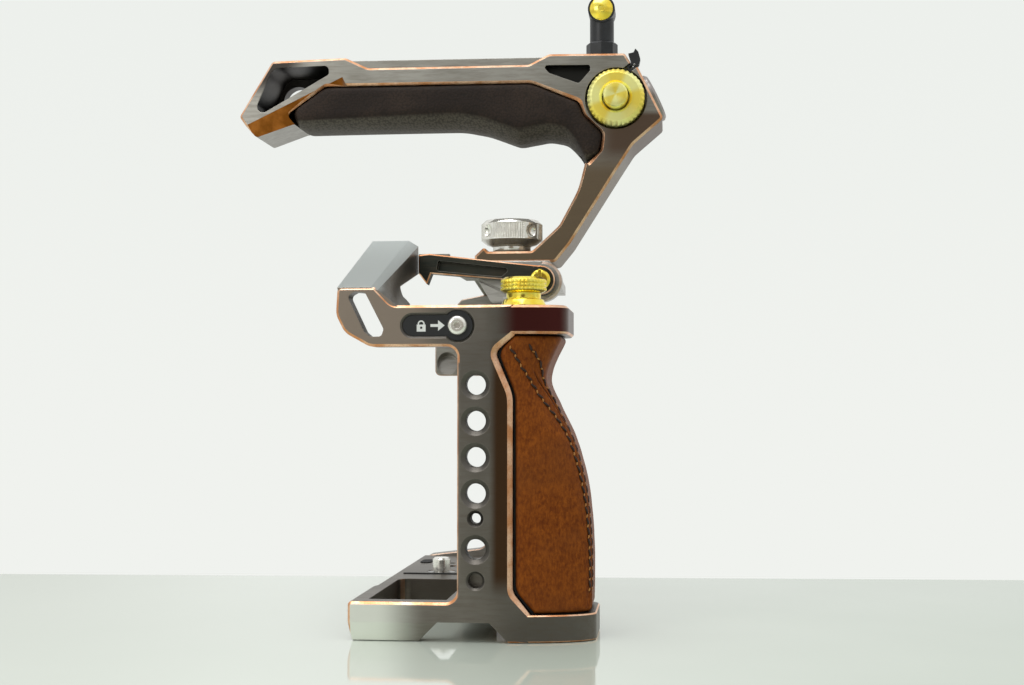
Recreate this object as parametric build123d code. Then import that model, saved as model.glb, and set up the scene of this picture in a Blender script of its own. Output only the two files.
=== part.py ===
"""Camera cage with a leather grip and a top handle, written piece by piece.

Every piece is drawn about the camera's lens axis: x runs from the grip side to the port side,
y points to the back of the camera, z is up and zero is the underside of the base. The handle's
pieces are drawn with zero height at the top plate's upper face. On export the pieces move so that
the origin is the mouth of the tripod thread in the base.
"""
import os
from math import atan2, cos, degrees, radians, sin

from build123d import *

# ---- driving dimensions, millimetres ---------------------------------------------------------

# fits and edges
running_fit = 0.05
slip_fit = 0.15
edge_break = 0.8
fine_break = 0.4

# whole cage
grip_face_x = -78.0
port_face_x = 58.0
tripod_offset = 16.0

# base
base_top = 11.5
base_rear_y = 16.0
base_front_y = -24.0
base_step = 1.6
base_step_x = -40.0
battery_length = 50.0
battery_rear_y = 10.8
battery_front_y = -13.0
battery_corner = 4.0
arch_rear_y = -5.4
arch_front_y = -32.2
arch_height = 5.7
arch_slope = 5.6
skirt_height = 5.4
skirt_inset = 1.3
tab_height = 8.4
tab_length = 10.0
rear_tab_top = 5.0

# rubber in the base's upper face
pad_depth = 1.2
pad_proud = 0.3
strip_x = -9.0
strip_width = 1.6
oval_x = 29.0
oval_y = [10.0, -17.0]
oval_length = 10.0
oval_width = 4.0

# side frame on the grip side
side_wall = 6.0
strip_rear_y = -16.9
rim_y = -33.4
rim_shoulder = 0.9
rim_waist = 5.2
rim_foot = 5.3
rim_break = 1.7
arm_bottom = 87.3
arm_rear_y = 19.6
head_top = 99.7
head_bottom = 91.0
hood_near_top = 105.2

# hood over the shoulder
hood_end_x = -20.6
hood_top = 125.5
hood_end_bottom = 100.0
hood_ridge = 3.4
hood_skirt = 5.0
hood_roof = 3.3
hood_rear_y = 20.6
hood_front_y = 4.9
hood_window_low = (-54.5, 107.1)
hood_window_slope = 0.205
strap_slot_end = -40.0

# threaded holes in the side frame
thread_radius = 3.0
thread_rim = 4.4
thread_sink = 1.2
hole_y = -22.4
first_hole_z = 75.9
hole_pitch = 10.75
hole_count = 4
lower_hole_z = 27.2
small_hole_z = 36.3
small_hole_radius = 1.55
small_hole_rim = 2.5
blind_hole_z = 18.0
blind_hole_radius = 2.15
blind_hole_depth = 4.6
blind_hole_sink = 0.7

# grip
grip_width = 40.0
grip_round = 10.7
grip_flat_y = -25.7
grip_head_front = -49.6
head_corner = 7.0
grip_foot_front = -57.7
grip_foot_top = 8.0
leather_thickness = 1.8
leather_inset = 0.5
leather_gap = 0.9
# height of the leather above the base, and how far forward it reaches there
grip_line = [
    (8.6, -56.4), (28.0, -56.5), (45.0, -55.0), (59.0, -51.3),
    (70.0, -46.2), (78.5, -43.2), (90.6, -48.2),
]

# gold thumb screw on the grip head
thumb_inset = 16.0
thumb_y = -35.2
thumb_radius = 7.1
thumb_height = 9.3
thumb_break = 1.2
thumb_groove = 0.35
thumb_neck = 5.0
thumb_thread = 3.0
thumb_thread_depth = 7.0

# lock label and its screw
label_y = -17.0
label_z = 93.6
label_big_radius = 4.5
label_small_radius = 3.1
label_length = 13.5
label_depth = 1.6
label_thickness = 1.0
label_lip = 0.6
lock_head_radius = 2.9
lock_head_height = 1.7
lock_thread = 1.5
lock_socket = 1.15
lock_screw_end = 1.5

# port side plate
port_wall = 7.5
port_strip_front_y = -24.0
port_strip_rear_y = -9.5
port_arm_bottom = 80.8
port_arm_rear_y = 10.7
port_top = 112.0
port_hole_y = -16.5
port_hole_z = [26.0, 40.0, 54.0, 68.0]
port_scoop_y = 5.9
port_scoop_z = 86.4
port_scoop_radius = 4.0
port_scoop_lean = 22.0
port_foot_length = 9.0
port_foot_height = 5.0
port_foot_rear_y = 10.0

# top plate
plate_top = 118.5
plate_thickness = 5.0
plate_rear_y = -8.0
plate_front_y = -43.5
plate_flat_x = 20.0
lug_x = -18.6
lug_thickness = 5.4
groove_depth = 1.2
pivot_y = -36.9
pivot_drop = 7.1
lug_radius = 6.8
leg_y = -31.5
leg_width = 8.0
leg_inset = 28.0
leg_end_width = 8.0
leg_thickness = 4.0

# swing arm
arm_thickness = 5.0
arm_boss_radius = 4.9
arm_pocket_depth = 2.6
arm_end_gap = 0.6
arm_end_rise = 8.8
pivot_radius = 2.0
pivot_head_radius = 3.5
pivot_head_height = 2.2
pivot_nut_radius = 3.4
pivot_nut_height = 2.4
washer_thickness = 0.5
leaf_thickness = 0.7
leaf_rise = 8.5
leaf_length = 10.3
leaf_margin = 0.9

# camera screw in the base
camera_thread = 3.1
camera_neck = 2.6
camera_slot = 1.6
camera_stud = 4.8
camera_head_radius = 7.0
camera_head_height = 3.0
clip_radius = 4.8
clip_thickness = 0.8

# top handle
handle_rise = 71.8
handle_half = 12.5
handle_web_half = 4.0
handle_rail_half = 8.0
web_bottom = 22.1
handle_foot_height = 5.0
window_floor = 5.0
window_eye_radius = 5.4
window_eye_y = 54.2
window_eye_drop = 10.4
front_pocket_depth = 4.0
pocket_break = 0.9
tail_bevel_line = [(68.0, -22.7), (37.0, -8.0)]
tail_bevel_tilt = 15.0

# soft grip of the handle: how far its lower side has risen at each distance from the flanks
wrap_bottom = 23.9
wrap_sink = 0.1
wrap_rise = [(9.0, 0.0), (4.5, 1.3), (1.5, 3.2), (wrap_sink, 5.0)]

# clamping knob of the handle
clamp_y = -24.8
clamp_radius = 10.75
clamp_height = 8.6
clamp_collar_radius = 6.7
clamp_collar_height = 3.1
clamp_seat = 1.1
clamp_dimple_radius = 2.75
clamp_dimple_out = 1.55
clamp_dimple_count = 4
clamp_thread = 3.1
locating_pin_radius = 1.5
locating_pin_length = 4.0
locating_pin_spread = 9.0
locating_pin_x = 9.0

# knob and push button in the handle head
knob_y = -61.9
knob_drop = 15.9
knob_radius = 9.8
knob_recess_gap = 0.8
knob_recess_depth = 7.6
knob_proud = 3.0
knob_notches = 36
knob_break = 1.4
knob_notch_radius = 0.4
knob_notch_out = 0.12
button_radius = 4.2
button_bore = 4.7
button_bore_break = 0.8
button_proud = 4.0
button_travel = 2.0
button_stem = 1.6
button_well = 7.0
spring_height = 1.9
shaft_radius = 3.4
shaft_collar = 5.6
cover_radius = 9.0
cover_thickness = 1.6
cover_cavity = 6.0
retainer_thickness = 1.0

# catch lever beside the knob
catch_inset = 1.0
catch_thickness = 2.0
catch_slot_gap = 0.3
catch_pin_radius = 0.4
catch_half = 1.15
catch_length = 3.6
catch_travel = 1.5
catch_reach = 2.6
catch_way = (-0.80, 0.60)

# threaded boss on the front of the head
boss_radius = 8.6
boss_proud = 2.0
boss_spigot = 4.6
boss_depth = 4.0

# accessory post
post_y = -56.6
post_base_radius = 5.5
post_base_height = 6.8
post_radius = 4.2
post_pin_radius = 2.4
post_pin_depth = 5.0
post_eye_radius = 4.7
post_seat_sink = 0.7
post_height = 18.0
post_eye_half = 4.4
post_nut_radius = 2.9
post_nut_height = 1.5
cap_radius = 4.1
cap_height = 1.5
cap_thread = 1.5
cap_socket = 1.25
cap_socket_depth = 0.9

# fasteners
screw_thread = 1.25
screw_head = 2.4
screw_sink = 1.3
screw_depth = 0.3
screw_socket = 1.1
screw_socket_depth = 0.9

# ---- sizes that follow -----------------------------------------------------------------------

grip_inner_x = grip_face_x + grip_width
wall_inner_x = grip_face_x + side_wall
port_inner_x = port_face_x - port_wall
battery_end_x = wall_inner_x + battery_length
base_far_rear_y = base_rear_y - base_step
thumb_x = grip_face_x + thumb_inset
grip_screw_places = [(grip_face_x + 12.0, -45.0), (grip_face_x + 28.0, -45.0)]
grip_screw_length = grip_foot_top + 6.0

leg_x = grip_face_x + leg_inset
leg_screw_x = leg_x + leg_end_width / 2
leg_top = head_top + leg_thickness
pivot_z = plate_top - pivot_drop
arm_x = lug_x - washer_thickness - arm_thickness
arm_end_y = hood_front_y - arm_end_gap
arm_end_z = pivot_z + arm_end_rise
leaf_z = pivot_z + leaf_rise
pivot_nut_x = lug_x + lug_thickness

rear_tab = (wall_inner_x + tab_length / 2, (battery_rear_y + base_rear_y) / 2)
front_tabs = [(wall_inner_x + 6.0, -19.0), (grip_inner_x - 7.0, -19.0)]
port_tabs = [(port_inner_x - port_foot_length / 2, -16.0), (port_inner_x - port_foot_length / 2, 6.0)]
top_screw_z = port_top + 3.6
top_screw_places = [(port_inner_x + port_wall / 2, -13.0), (port_inner_x + port_wall / 2, -19.5)]

knob_rise = handle_rise - knob_drop
window_eye_rise = handle_rise - window_eye_drop
post_seat_rise = handle_rise - post_seat_sink
post_eye_rise = post_seat_rise + post_height
post_nut_x = post_eye_half - post_nut_height - 0.1
pin_places = [clamp_y - locating_pin_spread, clamp_y + locating_pin_spread]
head_recess_x = -handle_half + knob_recess_depth
knob_face_x = -handle_half - knob_proud
catch_x = -handle_half + catch_inset
catch_start = (knob_y - 4.2, knob_rise + 10.0)
catch_pin_place = (catch_start[0] + catch_reach * catch_way[0], catch_start[1] + catch_reach * catch_way[1])


# ---- helpers ---------------------------------------------------------------------------------

def outline(points):
    """Closed flat outline that faces up; a point is (a, b) or (a, b, corner radius)."""
    ends = points[1:] + points[:1]
    turn = sum(here[0] * there[1] - there[0] * here[1] for here, there in zip(points, ends))
    corners = [point[:2] for point in points]
    face = Polygon(*(corners if turn > 0 else corners[::-1]), align=None)
    for a, b, *radius in points:
        if radius:
            corner = face.vertices().sort_by_distance((a, b, 0))[0]
            face = fillet(corner, radius[0])
    return face


def plate_x(points, x_low, x_high):
    """Plate with its outline in y and z."""
    return extrude(Plane.YZ.offset(x_low) * outline(points), amount=x_high - x_low)


def plate_y(points, y_low, y_high):
    """Plate with its outline in x and z."""
    return extrude(Plane.XZ.offset(-y_high) * outline(points), amount=y_high - y_low)


def plate_z(points, z_low, z_high):
    """Plate with its outline in x and y."""
    return extrude(Plane.XY.offset(z_low) * outline(points), amount=z_high - z_low)


def bar_outline(low_a, high_a, low_b, high_b, radius):
    """Corners of a bar with rounded corners, for outline()."""
    corners = [(low_a, low_b), (high_a, low_b), (high_a, high_b), (low_a, high_b)]
    return [(a, b, radius) for a, b in corners]


def rod_x(radius, x_low, x_high, y, z):
    return Pos((x_low + x_high) / 2, y, z) * Rot(0, 90, 0) * Cylinder(radius, x_high - x_low)


def rod_z(radius, z_low, z_high, x, y):
    return Pos(x, y, (z_low + z_high) / 2) * Cylinder(radius, z_high - z_low)


def hexagon_x(radius, x_low, x_high, y, z):
    face = Plane.YZ.offset(x_low) * Pos(y, z) * RegularPolygon(radius, 6)
    return extrude(face, x_high - x_low)


def block(x_low, x_high, y_low, y_high, z_low, z_high):
    size = (x_high - x_low, y_high - y_low, z_high - z_low)
    middle = ((x_low + x_high) / 2, (y_low + y_high) / 2, (z_low + z_high) / 2)
    return Pos(*middle) * Box(*size)


def cone_z(low_radius, high_radius, z_low, z_high, x, y):
    return Pos(x, y, (z_low + z_high) / 2) * Cone(low_radius, high_radius, z_high - z_low)


def cone_x(low_radius, high_radius, x_low, x_high, y, z):
    return Pos((x_low + x_high) / 2, y, z) * Rot(0, 90, 0) * Cone(low_radius, high_radius, x_high - x_low)


def break_side(part, x, size):
    """Chamfer the outer edge of the flat side that faces along x."""
    side = part.faces().filter_by(Plane.YZ).sort_by_distance((x, 0, 0))
    flat = [face for face in side if abs(face.center().X - x) < 0.01]
    widest = max(flat, key=lambda face: face.area)
    return chamfer(widest.outer_wire().edges(), size)


def screw_down(x, y, z_head, length):
    """Countersunk screw with its head at the bottom, driven upwards."""
    head = cone_z(screw_head, screw_thread, z_head, z_head + screw_sink, x, y)
    socket = Pos(x, y, z_head) * extrude(RegularPolygon(screw_socket, 6), screw_socket_depth)
    return head + rod_z(screw_thread, z_head + screw_sink, z_head + length, x, y) - socket


def screw_seat(x, y, z_head, length):
    """Room for a screw from screw_down, with its counterbore."""
    head = cone_z(screw_head + slip_fit, screw_thread + slip_fit, z_head, z_head + screw_sink, x, y)
    head += rod_z(screw_head + slip_fit, z_head - 3.0, z_head, x, y)
    return head + rod_z(screw_thread + slip_fit, z_head + screw_sink, z_head + length, x, y)


def screw_up(x, y, z_head, length):
    """Countersunk screw with its head at the top, driven downwards."""
    return Pos(x, y, z_head) * Rot(180, 0, 0) * screw_down(0, 0, 0, length)


def seat_up(x, y, z_head, length):
    return Pos(x, y, z_head) * Rot(180, 0, 0) * screw_seat(0, 0, 0, length)


def grip_outline(front_y, inset, rear_y):
    """Plan of the grip: flat sides that round into a blunt front."""
    left = grip_face_x + inset
    right = grip_inner_x - inset
    front = front_y + inset
    round_x = grip_round - inset
    round_y = grip_flat_y - front
    start = Line((right, rear_y), (left, rear_y))
    side = Line((left, rear_y), (left, grip_flat_y))
    near = EllipticalCenterArc((left + round_x, grip_flat_y), round_x, round_y, 180, arc_size=90)
    nose = Line((left + round_x, front), (right - round_x, front))
    far = EllipticalCenterArc((right - round_x, grip_flat_y), round_x, round_y, 270, arc_size=90)
    back = Line((right, grip_flat_y), (right, rear_y))
    return make_face([start, side, near, nose, far, back])


def grip_body(inset, rear_y, z_low, z_high):
    """The grip's swell, as a loft through its plans, cut off below and above."""
    first = (grip_foot_top - 2.0, grip_line[0][1])
    last = (head_bottom + 2.0, grip_line[-1][1])
    line = [first] + grip_line[1:-1] + [last]
    plans = [Plane.XY.offset(z) * grip_outline(front, inset, rear_y) for z, front in line]
    room = block(grip_face_x - 1, grip_inner_x + 1, grip_foot_front - 1, rear_y + 1, z_low, z_high)
    return loft(plans) & room


# ---- base ------------------------------------------------------------------------------------

def arch(x_low, x_high):
    points = [
        (arch_rear_y, -1.0),
        (arch_rear_y, 0.0),
        (arch_rear_y - arch_slope, arch_height),
        (arch_front_y + arch_slope, arch_height),
        (arch_front_y, 0.0),
        (arch_front_y, -1.0),
    ]
    return plate_x(points, x_low, x_high)


def base_plate():
    plan = [
        (wall_inner_x, base_rear_y),
        (base_step_x - 4.0, base_rear_y),
        (base_step_x, base_far_rear_y),
        (port_inner_x, base_far_rear_y),
        (port_inner_x, base_front_y),
        (wall_inner_x, base_front_y),
    ]
    slab = plate_z(plan, 0, base_top)
    rear = slab.faces().filter_by(Plane.XZ).sort_by(Axis.Y)[-1]
    slab = chamfer(rear.edges().filter_by(Axis.X).sort_by(Axis.Z)[-1], edge_break)
    battery = [
        (wall_inner_x - 1.0, battery_rear_y),
        (battery_end_x, battery_rear_y, battery_corner),
        (battery_end_x, battery_front_y, battery_corner),
        (wall_inner_x - 1.0, battery_front_y),
    ]
    slab -= plate_z(battery, -1, base_top + 1)
    slab -= arch(wall_inner_x - 1, grip_inner_x)
    # seats for the tabs of the two side frames
    rear_end = wall_inner_x + tab_length
    slab -= block(wall_inner_x - 1, rear_end, battery_rear_y - 1, base_rear_y + 1, -1, rear_tab_top)
    slab -= block(wall_inner_x - 1, grip_inner_x, base_front_y - 1, battery_front_y + 1, -1, tab_height)
    port_start = port_inner_x - port_foot_length
    slab -= block(port_start, port_inner_x + 1, base_front_y - 1, port_foot_rear_y, -1, port_foot_height)
    for x, y in [rear_tab] + front_tabs + port_tabs:
        slab -= rod_z(screw_thread, 0, base_top - 1, x, y)
    # camera screw, tripod threads and the grooves for the rubber
    slab -= rod_z(camera_thread + running_fit, -1, base_top + 1, 0, 0)
    slab -= rod_z(camera_head_radius + slip_fit, -1, camera_head_height + 1.0, 0, 0)
    slab -= rod_z(thread_radius, -1, base_top + 1, tripod_offset, 0)
    slab -= rod_z(small_hole_radius, -1, base_top + 1, tripod_offset + 9.0, 0)
    slab -= rod_z(clip_radius + slip_fit, base_top - clip_thickness - slip_fit, base_top + 1, 0, 0)
    for pad in pad_outlines():
        slab -= plate_z(pad, base_top - pad_depth, base_top + 1)
    return slab


def pad_outlines():
    """Rubber strip and two rubber ovals under the camera."""
    strip = bar_outline(strip_x, strip_x + strip_width, base_front_y + 4.0, base_far_rear_y - 2.4, 0.6)
    left = oval_x - oval_length / 2
    half = oval_width / 2
    ovals = [bar_outline(left, left + oval_length, y - half, y + half, half - 0.1) for y in oval_y]
    return [strip] + ovals


def camera_pads():
    return [plate_z(pad, base_top - pad_depth, base_top + pad_proud) for pad in pad_outlines()]


def camera_screw():
    low = 0.8
    screw = rod_z(camera_head_radius, low, low + camera_head_height, 0, 0)
    screw = chamfer(screw.edges(), fine_break)
    thread = rod_z(camera_thread, base_top + 0.3, base_top + camera_stud, 0, 0)
    screw += rod_z(camera_neck, low + camera_head_height, base_top + 0.3, 0, 0)
    screw += chamfer(thread.faces().sort_by(Axis.Z)[-1].edges(), 0.6)
    half = camera_slot / 2
    return screw - block(-camera_head_radius, camera_head_radius, -half, half, 0, low + camera_slot)


def screw_clip():
    """Open ring under the thread that keeps the screw in the base."""
    low = base_top - clip_thickness - slip_fit
    high = base_top - slip_fit
    ring = rod_z(clip_radius, low, high, 0, 0) - rod_z(camera_neck + slip_fit, low - 1, high + 1, 0, 0)
    return ring - block(0, clip_radius + 1, -1.2, 1.2, low - 1, high + 1)


def base_screws():
    screws = [screw_down(*rear_tab, screw_depth, 8.0)]
    screws += [screw_down(x, y, arch_height, 4.4) for x, y in front_tabs]
    screws += [screw_down(x, y, screw_depth, 8.0) for x, y in port_tabs]
    return screws


# ---- side frame on the grip side -------------------------------------------------------------

def rim_profile(gap):
    """Front edge of the side wall from the grip head down to the foot, moved forwards by a gap."""
    return [
        (rim_y - rim_shoulder - gap, head_bottom - 0.1 - gap / 2, 2.2),
        (rim_y + rim_waist - gap, head_bottom - 5.4, 2.5),
        (rim_y - gap, head_bottom - 18.0, 12.0),
        (rim_y - gap, grip_foot_top + 6.6 + gap, 4.0),
        (rim_y - rim_foot - gap, grip_foot_top + gap, 2.4),
    ]


def side_outline():
    """Outline of the wall in y and z, with the arm, the grip rim and both feet."""
    return [
        (base_rear_y - skirt_inset, 0.0),
        (base_rear_y, skirt_height, 3.0),
        (base_rear_y, base_top, 1.2),
        (strip_rear_y, base_top, 3.6),
        (strip_rear_y, arm_bottom, 3.2),
        (9.5, arm_bottom, 6.0),
        (17.3, 91.6, 6.0),
        (arm_rear_y + 0.4, 97.0, 6.0),
        (arm_rear_y, hood_near_top, 1.4),
        (8.2, hood_near_top, 1.0),
        (2.9, head_top, 4.0),
        (rim_y - rim_shoulder, head_top),
        *rim_profile(0),
        (rim_y - rim_foot, 0.0),
    ]


def break_wall(wall):
    """Chamfer the wall's outer edge, wider along the grip's rim."""
    side = wall.faces().sort_by(Axis.X)[0]
    edges = side.outer_wire().edges()
    before = [edge for edge in edges if edge.center().Y < rim_y + rim_waist + 1.0]
    rim = [edge for edge in before if edge.center().Z < head_bottom]
    rest = [edge for edge in edges if edge not in rim]
    wall = chamfer(rim, rim_break)
    places = [edge.center() for edge in rest if edge.center().Y > rim_y + rim_waist]
    again = []
    for edge in wall.faces().sort_by(Axis.X)[0].outer_wire().edges():
        if min((edge.center() - spot).length for spot in places) < 1.5:
            again.append(edge)
    return chamfer(again, edge_break)


def strap_slot():
    """Outline of the slanted slot for a strap in the arm."""
    return [
        (16.4, 102.6, 1.4),
        (14.2, 103.9, 1.0),
        (11.0, 103.6, 1.2),
        (5.3, 92.6, 1.3),
        (6.0, 90.4, 1.2),
        (9.4, 90.3, 1.4),
        (11.2, 91.8, 1.0),
    ]


def broken_rims(slab, rear_y, size):
    """Chamfer the upper and lower edges of a slab, but not those along its rear."""
    rims = slab.faces().filter_by(Axis.Z).edges()
    return chamfer([edge for edge in rims if edge.center().Y < rear_y - 0.01], size)


def grip_head():
    room = Pos(grip_face_x + grip_width / 2, (grip_head_front + strip_rear_y) / 2) * Rectangle(
        grip_width + 2.0, strip_rear_y - grip_head_front
    )
    plan = grip_outline(grip_foot_front, 0, strip_rear_y) & room
    corners = plan.vertices().sort_by(Axis.Y)[:2]
    plan = fillet(corners, head_corner)
    head = extrude(Plane.XY.offset(head_bottom) * plan, head_top - head_bottom)
    return broken_rims(head, strip_rear_y, edge_break)


def grip_foot():
    plan = grip_outline(grip_foot_front, 0, base_front_y)
    return broken_rims(extrude(Plane.XY * plan, grip_foot_top), base_front_y, fine_break)


def hood():
    """Band that rises from the arm to a free end above the camera's shoulder."""
    near = [
        (arm_rear_y, hood_near_top),
        (9.4, hood_near_top),
        (7.2, hood_near_top - 0.9),
        (1.2, head_top - 0.4),
        (arm_rear_y - 3.0, arm_bottom + 6.0),
    ]
    far = [
        (hood_rear_y, hood_top),
        (hood_front_y + hood_ridge, hood_top),
        (hood_front_y, hood_top - 0.6 * hood_ridge),
        (hood_front_y, hood_end_bottom),
        (hood_rear_y, hood_end_bottom),
    ]
    plans = [
        Plane.YZ.offset(grip_face_x + 0.4) * outline(near),
        Plane.YZ.offset(hood_end_x) * outline(far),
    ]
    band = loft(plans, ruled=True)
    # the roof turns flatter before the free end
    high = hood_top + 15.0
    bend = (hood_end_x - 10.8, hood_top - 2.1)
    outside = grip_face_x - 12.0
    roof = [(outside, high), (outside, hood_near_top - 4.7), (grip_face_x, hood_near_top)]
    roof += [bend, (hood_end_x - 1.6, hood_top - 0.1), (hood_end_x + 20.0, hood_top - 0.1)]
    roof += [(hood_end_x + 20.0, high)]
    band -= plate_y(roof, hood_front_y - 15.0, hood_rear_y + 15.0)
    # behind the front skirt only the roof remains
    inner = [(wall_inner_x, 80.0), (wall_inner_x, hood_near_top + 2.2 - hood_roof)]
    inner += [(bend[0], bend[1] - hood_roof), (hood_end_x + 1, hood_top - hood_roof - 0.4)]
    inner += [(hood_end_x + 1, 80.0)]
    band -= plate_y(inner, hood_front_y + hood_skirt, hood_rear_y + 5.0)
    # window under the front skirt, rounded at its near end
    low_x, low_z = hood_window_low
    far_x = hood_end_x + 6.0
    window = [
        (far_x, low_z + hood_window_slope * (far_x - low_x)),
        (low_x, low_z, 1.6),
        (low_x + 0.5, low_z - 2.9, 1.3),
        (low_x + 12.5, low_z - 4.5),
        (low_x + 18.5, hood_end_bottom - 9.0),
        (far_x, hood_end_bottom - 9.0),
    ]
    band -= plate_y(window, hood_front_y - 15.0, hood_rear_y + 15.0)
    return band


def side_frame():
    wall = break_wall(plate_x(side_outline(), grip_face_x, wall_inner_x))
    # the outer face leans back towards the rim, as the grip's plan does
    slab = block(grip_face_x - 1, wall_inner_x, grip_foot_front, base_rear_y + 10, -1, 140)
    round_low = Plane.XY.offset(-1) * grip_outline(grip_foot_front, 0, base_rear_y + 10)
    wall = wall & (slab & extrude(round_low, 141))
    frame = wall + grip_head() + grip_foot() + hood()
    frame -= arch(grip_face_x - 1, grip_inner_x + 1)
    # chamfered skirt along the near foot
    skirt = [
        (grip_face_x - 1.0, -0.5), (grip_face_x + skirt_inset, -0.5), (grip_face_x, skirt_height),
        (grip_face_x - 1.0, skirt_height),
    ]
    frame -= plate_y(skirt, arch_rear_y - 6.0, base_rear_y + 1.0)
    # tabs under the base
    rear_end = wall_inner_x + tab_length - slip_fit
    front_end = grip_inner_x - slip_fit
    frame += block(wall_inner_x, rear_end, battery_rear_y + 0.4, base_rear_y - 1.4, 0, rear_tab_top)
    frame += block(wall_inner_x, front_end, base_front_y - 1, battery_front_y - 0.5, arch_height, tab_height)
    frame -= screw_seat(*rear_tab, screw_depth, 9.0)
    for x, y in front_tabs:
        frame -= screw_seat(x, y, arch_height, 9.0)
    # strap slot
    frame -= plate_x(strap_slot(), grip_face_x - 1, strap_slot_end)
    # threaded holes
    places = [first_hole_z - n * hole_pitch for n in range(hole_count)] + [lower_hole_z]
    for z in places:
        frame -= thread_hole(z, thread_radius, thread_rim)
    frame -= thread_hole(small_hole_z, small_hole_radius, small_hole_rim)
    frame -= rod_x(blind_hole_radius, grip_face_x - 1, grip_face_x + blind_hole_depth, hole_y, blind_hole_z)
    rim = blind_hole_radius + blind_hole_sink
    sink_end = grip_face_x + blind_hole_sink
    frame -= cone_x(rim, blind_hole_radius, grip_face_x, sink_end, hole_y, blind_hole_z)
    # recess and bore of the lock screw
    frame -= label_shape(slip_fit, grip_face_x - 1, grip_face_x + label_depth)
    frame = break_recess(frame)
    bore_end = wall_inner_x + lock_screw_end + 0.5
    frame -= rod_x(lock_thread + running_fit, grip_face_x, bore_end, label_y, label_z)
    # bore of the thumb screw and of the leg's screw
    stud_end = head_top - thumb_thread_depth
    frame -= rod_z(thumb_thread + running_fit, stud_end - 1, head_top + 1, thumb_x, thumb_y)
    frame -= rod_z(screw_thread, head_bottom, head_top + 1, leg_screw_x, leg_y)
    for x, y in grip_screw_places:
        frame -= screw_seat(x, y, screw_depth, grip_foot_top + 1)
    return frame


def thread_hole(z, radius, rim):
    hole = rod_x(radius, grip_face_x - 1, wall_inner_x + 1, hole_y, z)
    hole += cone_x(rim, radius, grip_face_x, grip_face_x + thread_sink, hole_y, z)
    return hole + cone_x(radius, rim, wall_inner_x - thread_sink, wall_inner_x, hole_y, z)


def label_shape(grow, x_low, x_high):
    """Keyhole shape: a disc round the screw and a narrower tail."""
    disc = rod_x(label_big_radius + grow, x_low, x_high, label_y, label_z)
    tail_y = label_y + label_length
    tail = rod_x(label_small_radius + grow, x_low, x_high, tail_y, label_z)
    half = label_small_radius + grow
    return disc + tail + block(x_low, x_high, label_y, tail_y, label_z - half, label_z + half)


def break_recess(frame):
    """Chamfer the mouth of the label's recess."""
    mouth = []
    for edge in frame.edges():
        spot = edge.center()
        inside = abs(spot.Y - label_y - label_length / 2) < label_length / 2 + label_big_radius + 0.3
        inside = inside and abs(spot.Z - label_z) < label_big_radius + 0.3
        if inside and abs(spot.X - grip_face_x) < 0.01 and not edge.is_closed:
            mouth.append(edge)
    return chamfer(mouth, label_lip)


def lock_label():
    low = grip_face_x + label_depth - label_thickness
    plate = label_shape(0, low, grip_face_x + label_depth)
    return plate - rod_x(lock_thread + slip_fit, low - 1, low + 3, label_y, label_z)


def lock_screw():
    face = grip_face_x + label_depth - label_thickness
    head = rod_x(lock_head_radius, face - lock_head_height, face - 0.05, label_y, label_z)
    head = fillet(head.faces().sort_by(Axis.X)[0].edges(), 1.1)
    socket = hexagon_x(lock_socket, face - lock_head_height, face - lock_head_height + 1.1, label_y, label_z)
    return head + rod_x(lock_thread, face - 0.05, wall_inner_x + lock_screw_end, label_y, label_z) - socket


# ---- grip ------------------------------------------------------------------------------------

def rim_cutter(gap):
    """The side wall's own room, grown by a gap, so that the leather stops at the rim."""
    points = [
        (0.0, head_bottom + 1.0),
        (rim_y - rim_shoulder - gap, head_bottom + 1.0),
        *rim_profile(gap),
        (rim_y - rim_foot - gap, grip_foot_top - 2.0),
        (0.0, grip_foot_top - 2.0),
    ]
    return plate_x(points, grip_face_x - 2, wall_inner_x + slip_fit)


def grip_core():
    inset = leather_inset + leather_thickness + 2 * slip_fit
    core = grip_body(inset, base_front_y - 1.5, grip_foot_top, head_bottom)
    core -= rim_cutter(slip_fit)
    for x, y in grip_screw_places:
        core -= rod_z(screw_thread, 0, grip_screw_length + 1, x, y)
    core -= rod_z(thumb_thread + 1.0, head_top - thumb_thread_depth - 2, head_top, thumb_x, thumb_y)
    return core


def grip_leather():
    low = grip_foot_top + 0.3
    high = head_bottom - 0.3
    cover = grip_body(leather_inset, base_front_y - 1.5, low, high)
    hollow = grip_body(leather_inset + leather_thickness, base_front_y + 4.0, low - 1, high + 1)
    cover -= hollow
    return cover - rim_cutter(leather_gap)


def grip_screws():
    return [screw_down(x, y, screw_depth, grip_screw_length) for x, y in grip_screw_places]


def grip_thumb_screw():
    """Knurled double flange on a threaded stud."""
    low = head_top + 0.1
    profile = [
        (0, low),
        (thumb_radius - 0.2, low),
        (thumb_radius - 0.2, low + 0.9),
        (thumb_radius - 1.0, low + 2.4),
        (thumb_neck + 0.3, low + 2.9),
        (thumb_neck + 0.3, low + 4.3),
        (thumb_radius - 0.6, low + 4.8),
        (thumb_radius, low + 5.4),
        (thumb_radius, low + thumb_height - thumb_break),
        (thumb_radius - thumb_break, low + thumb_height),
        (0, low + thumb_height),
    ]
    body = revolve(Plane.XZ * Polygon(*profile, align=None), Axis.Z)
    for level in (low + 6.2, low + 7.4):
        outer = Cylinder(thumb_radius + 1, thumb_groove)
        body -= Pos(0, 0, level) * (outer - Cylinder(thumb_radius - thumb_groove, thumb_groove))
    body += rod_z(thumb_thread, head_top - thumb_thread_depth, low, 0, 0)
    return Pos(thumb_x, thumb_y, 0) * body


# ---- port side plate -------------------------------------------------------------------------

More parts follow.
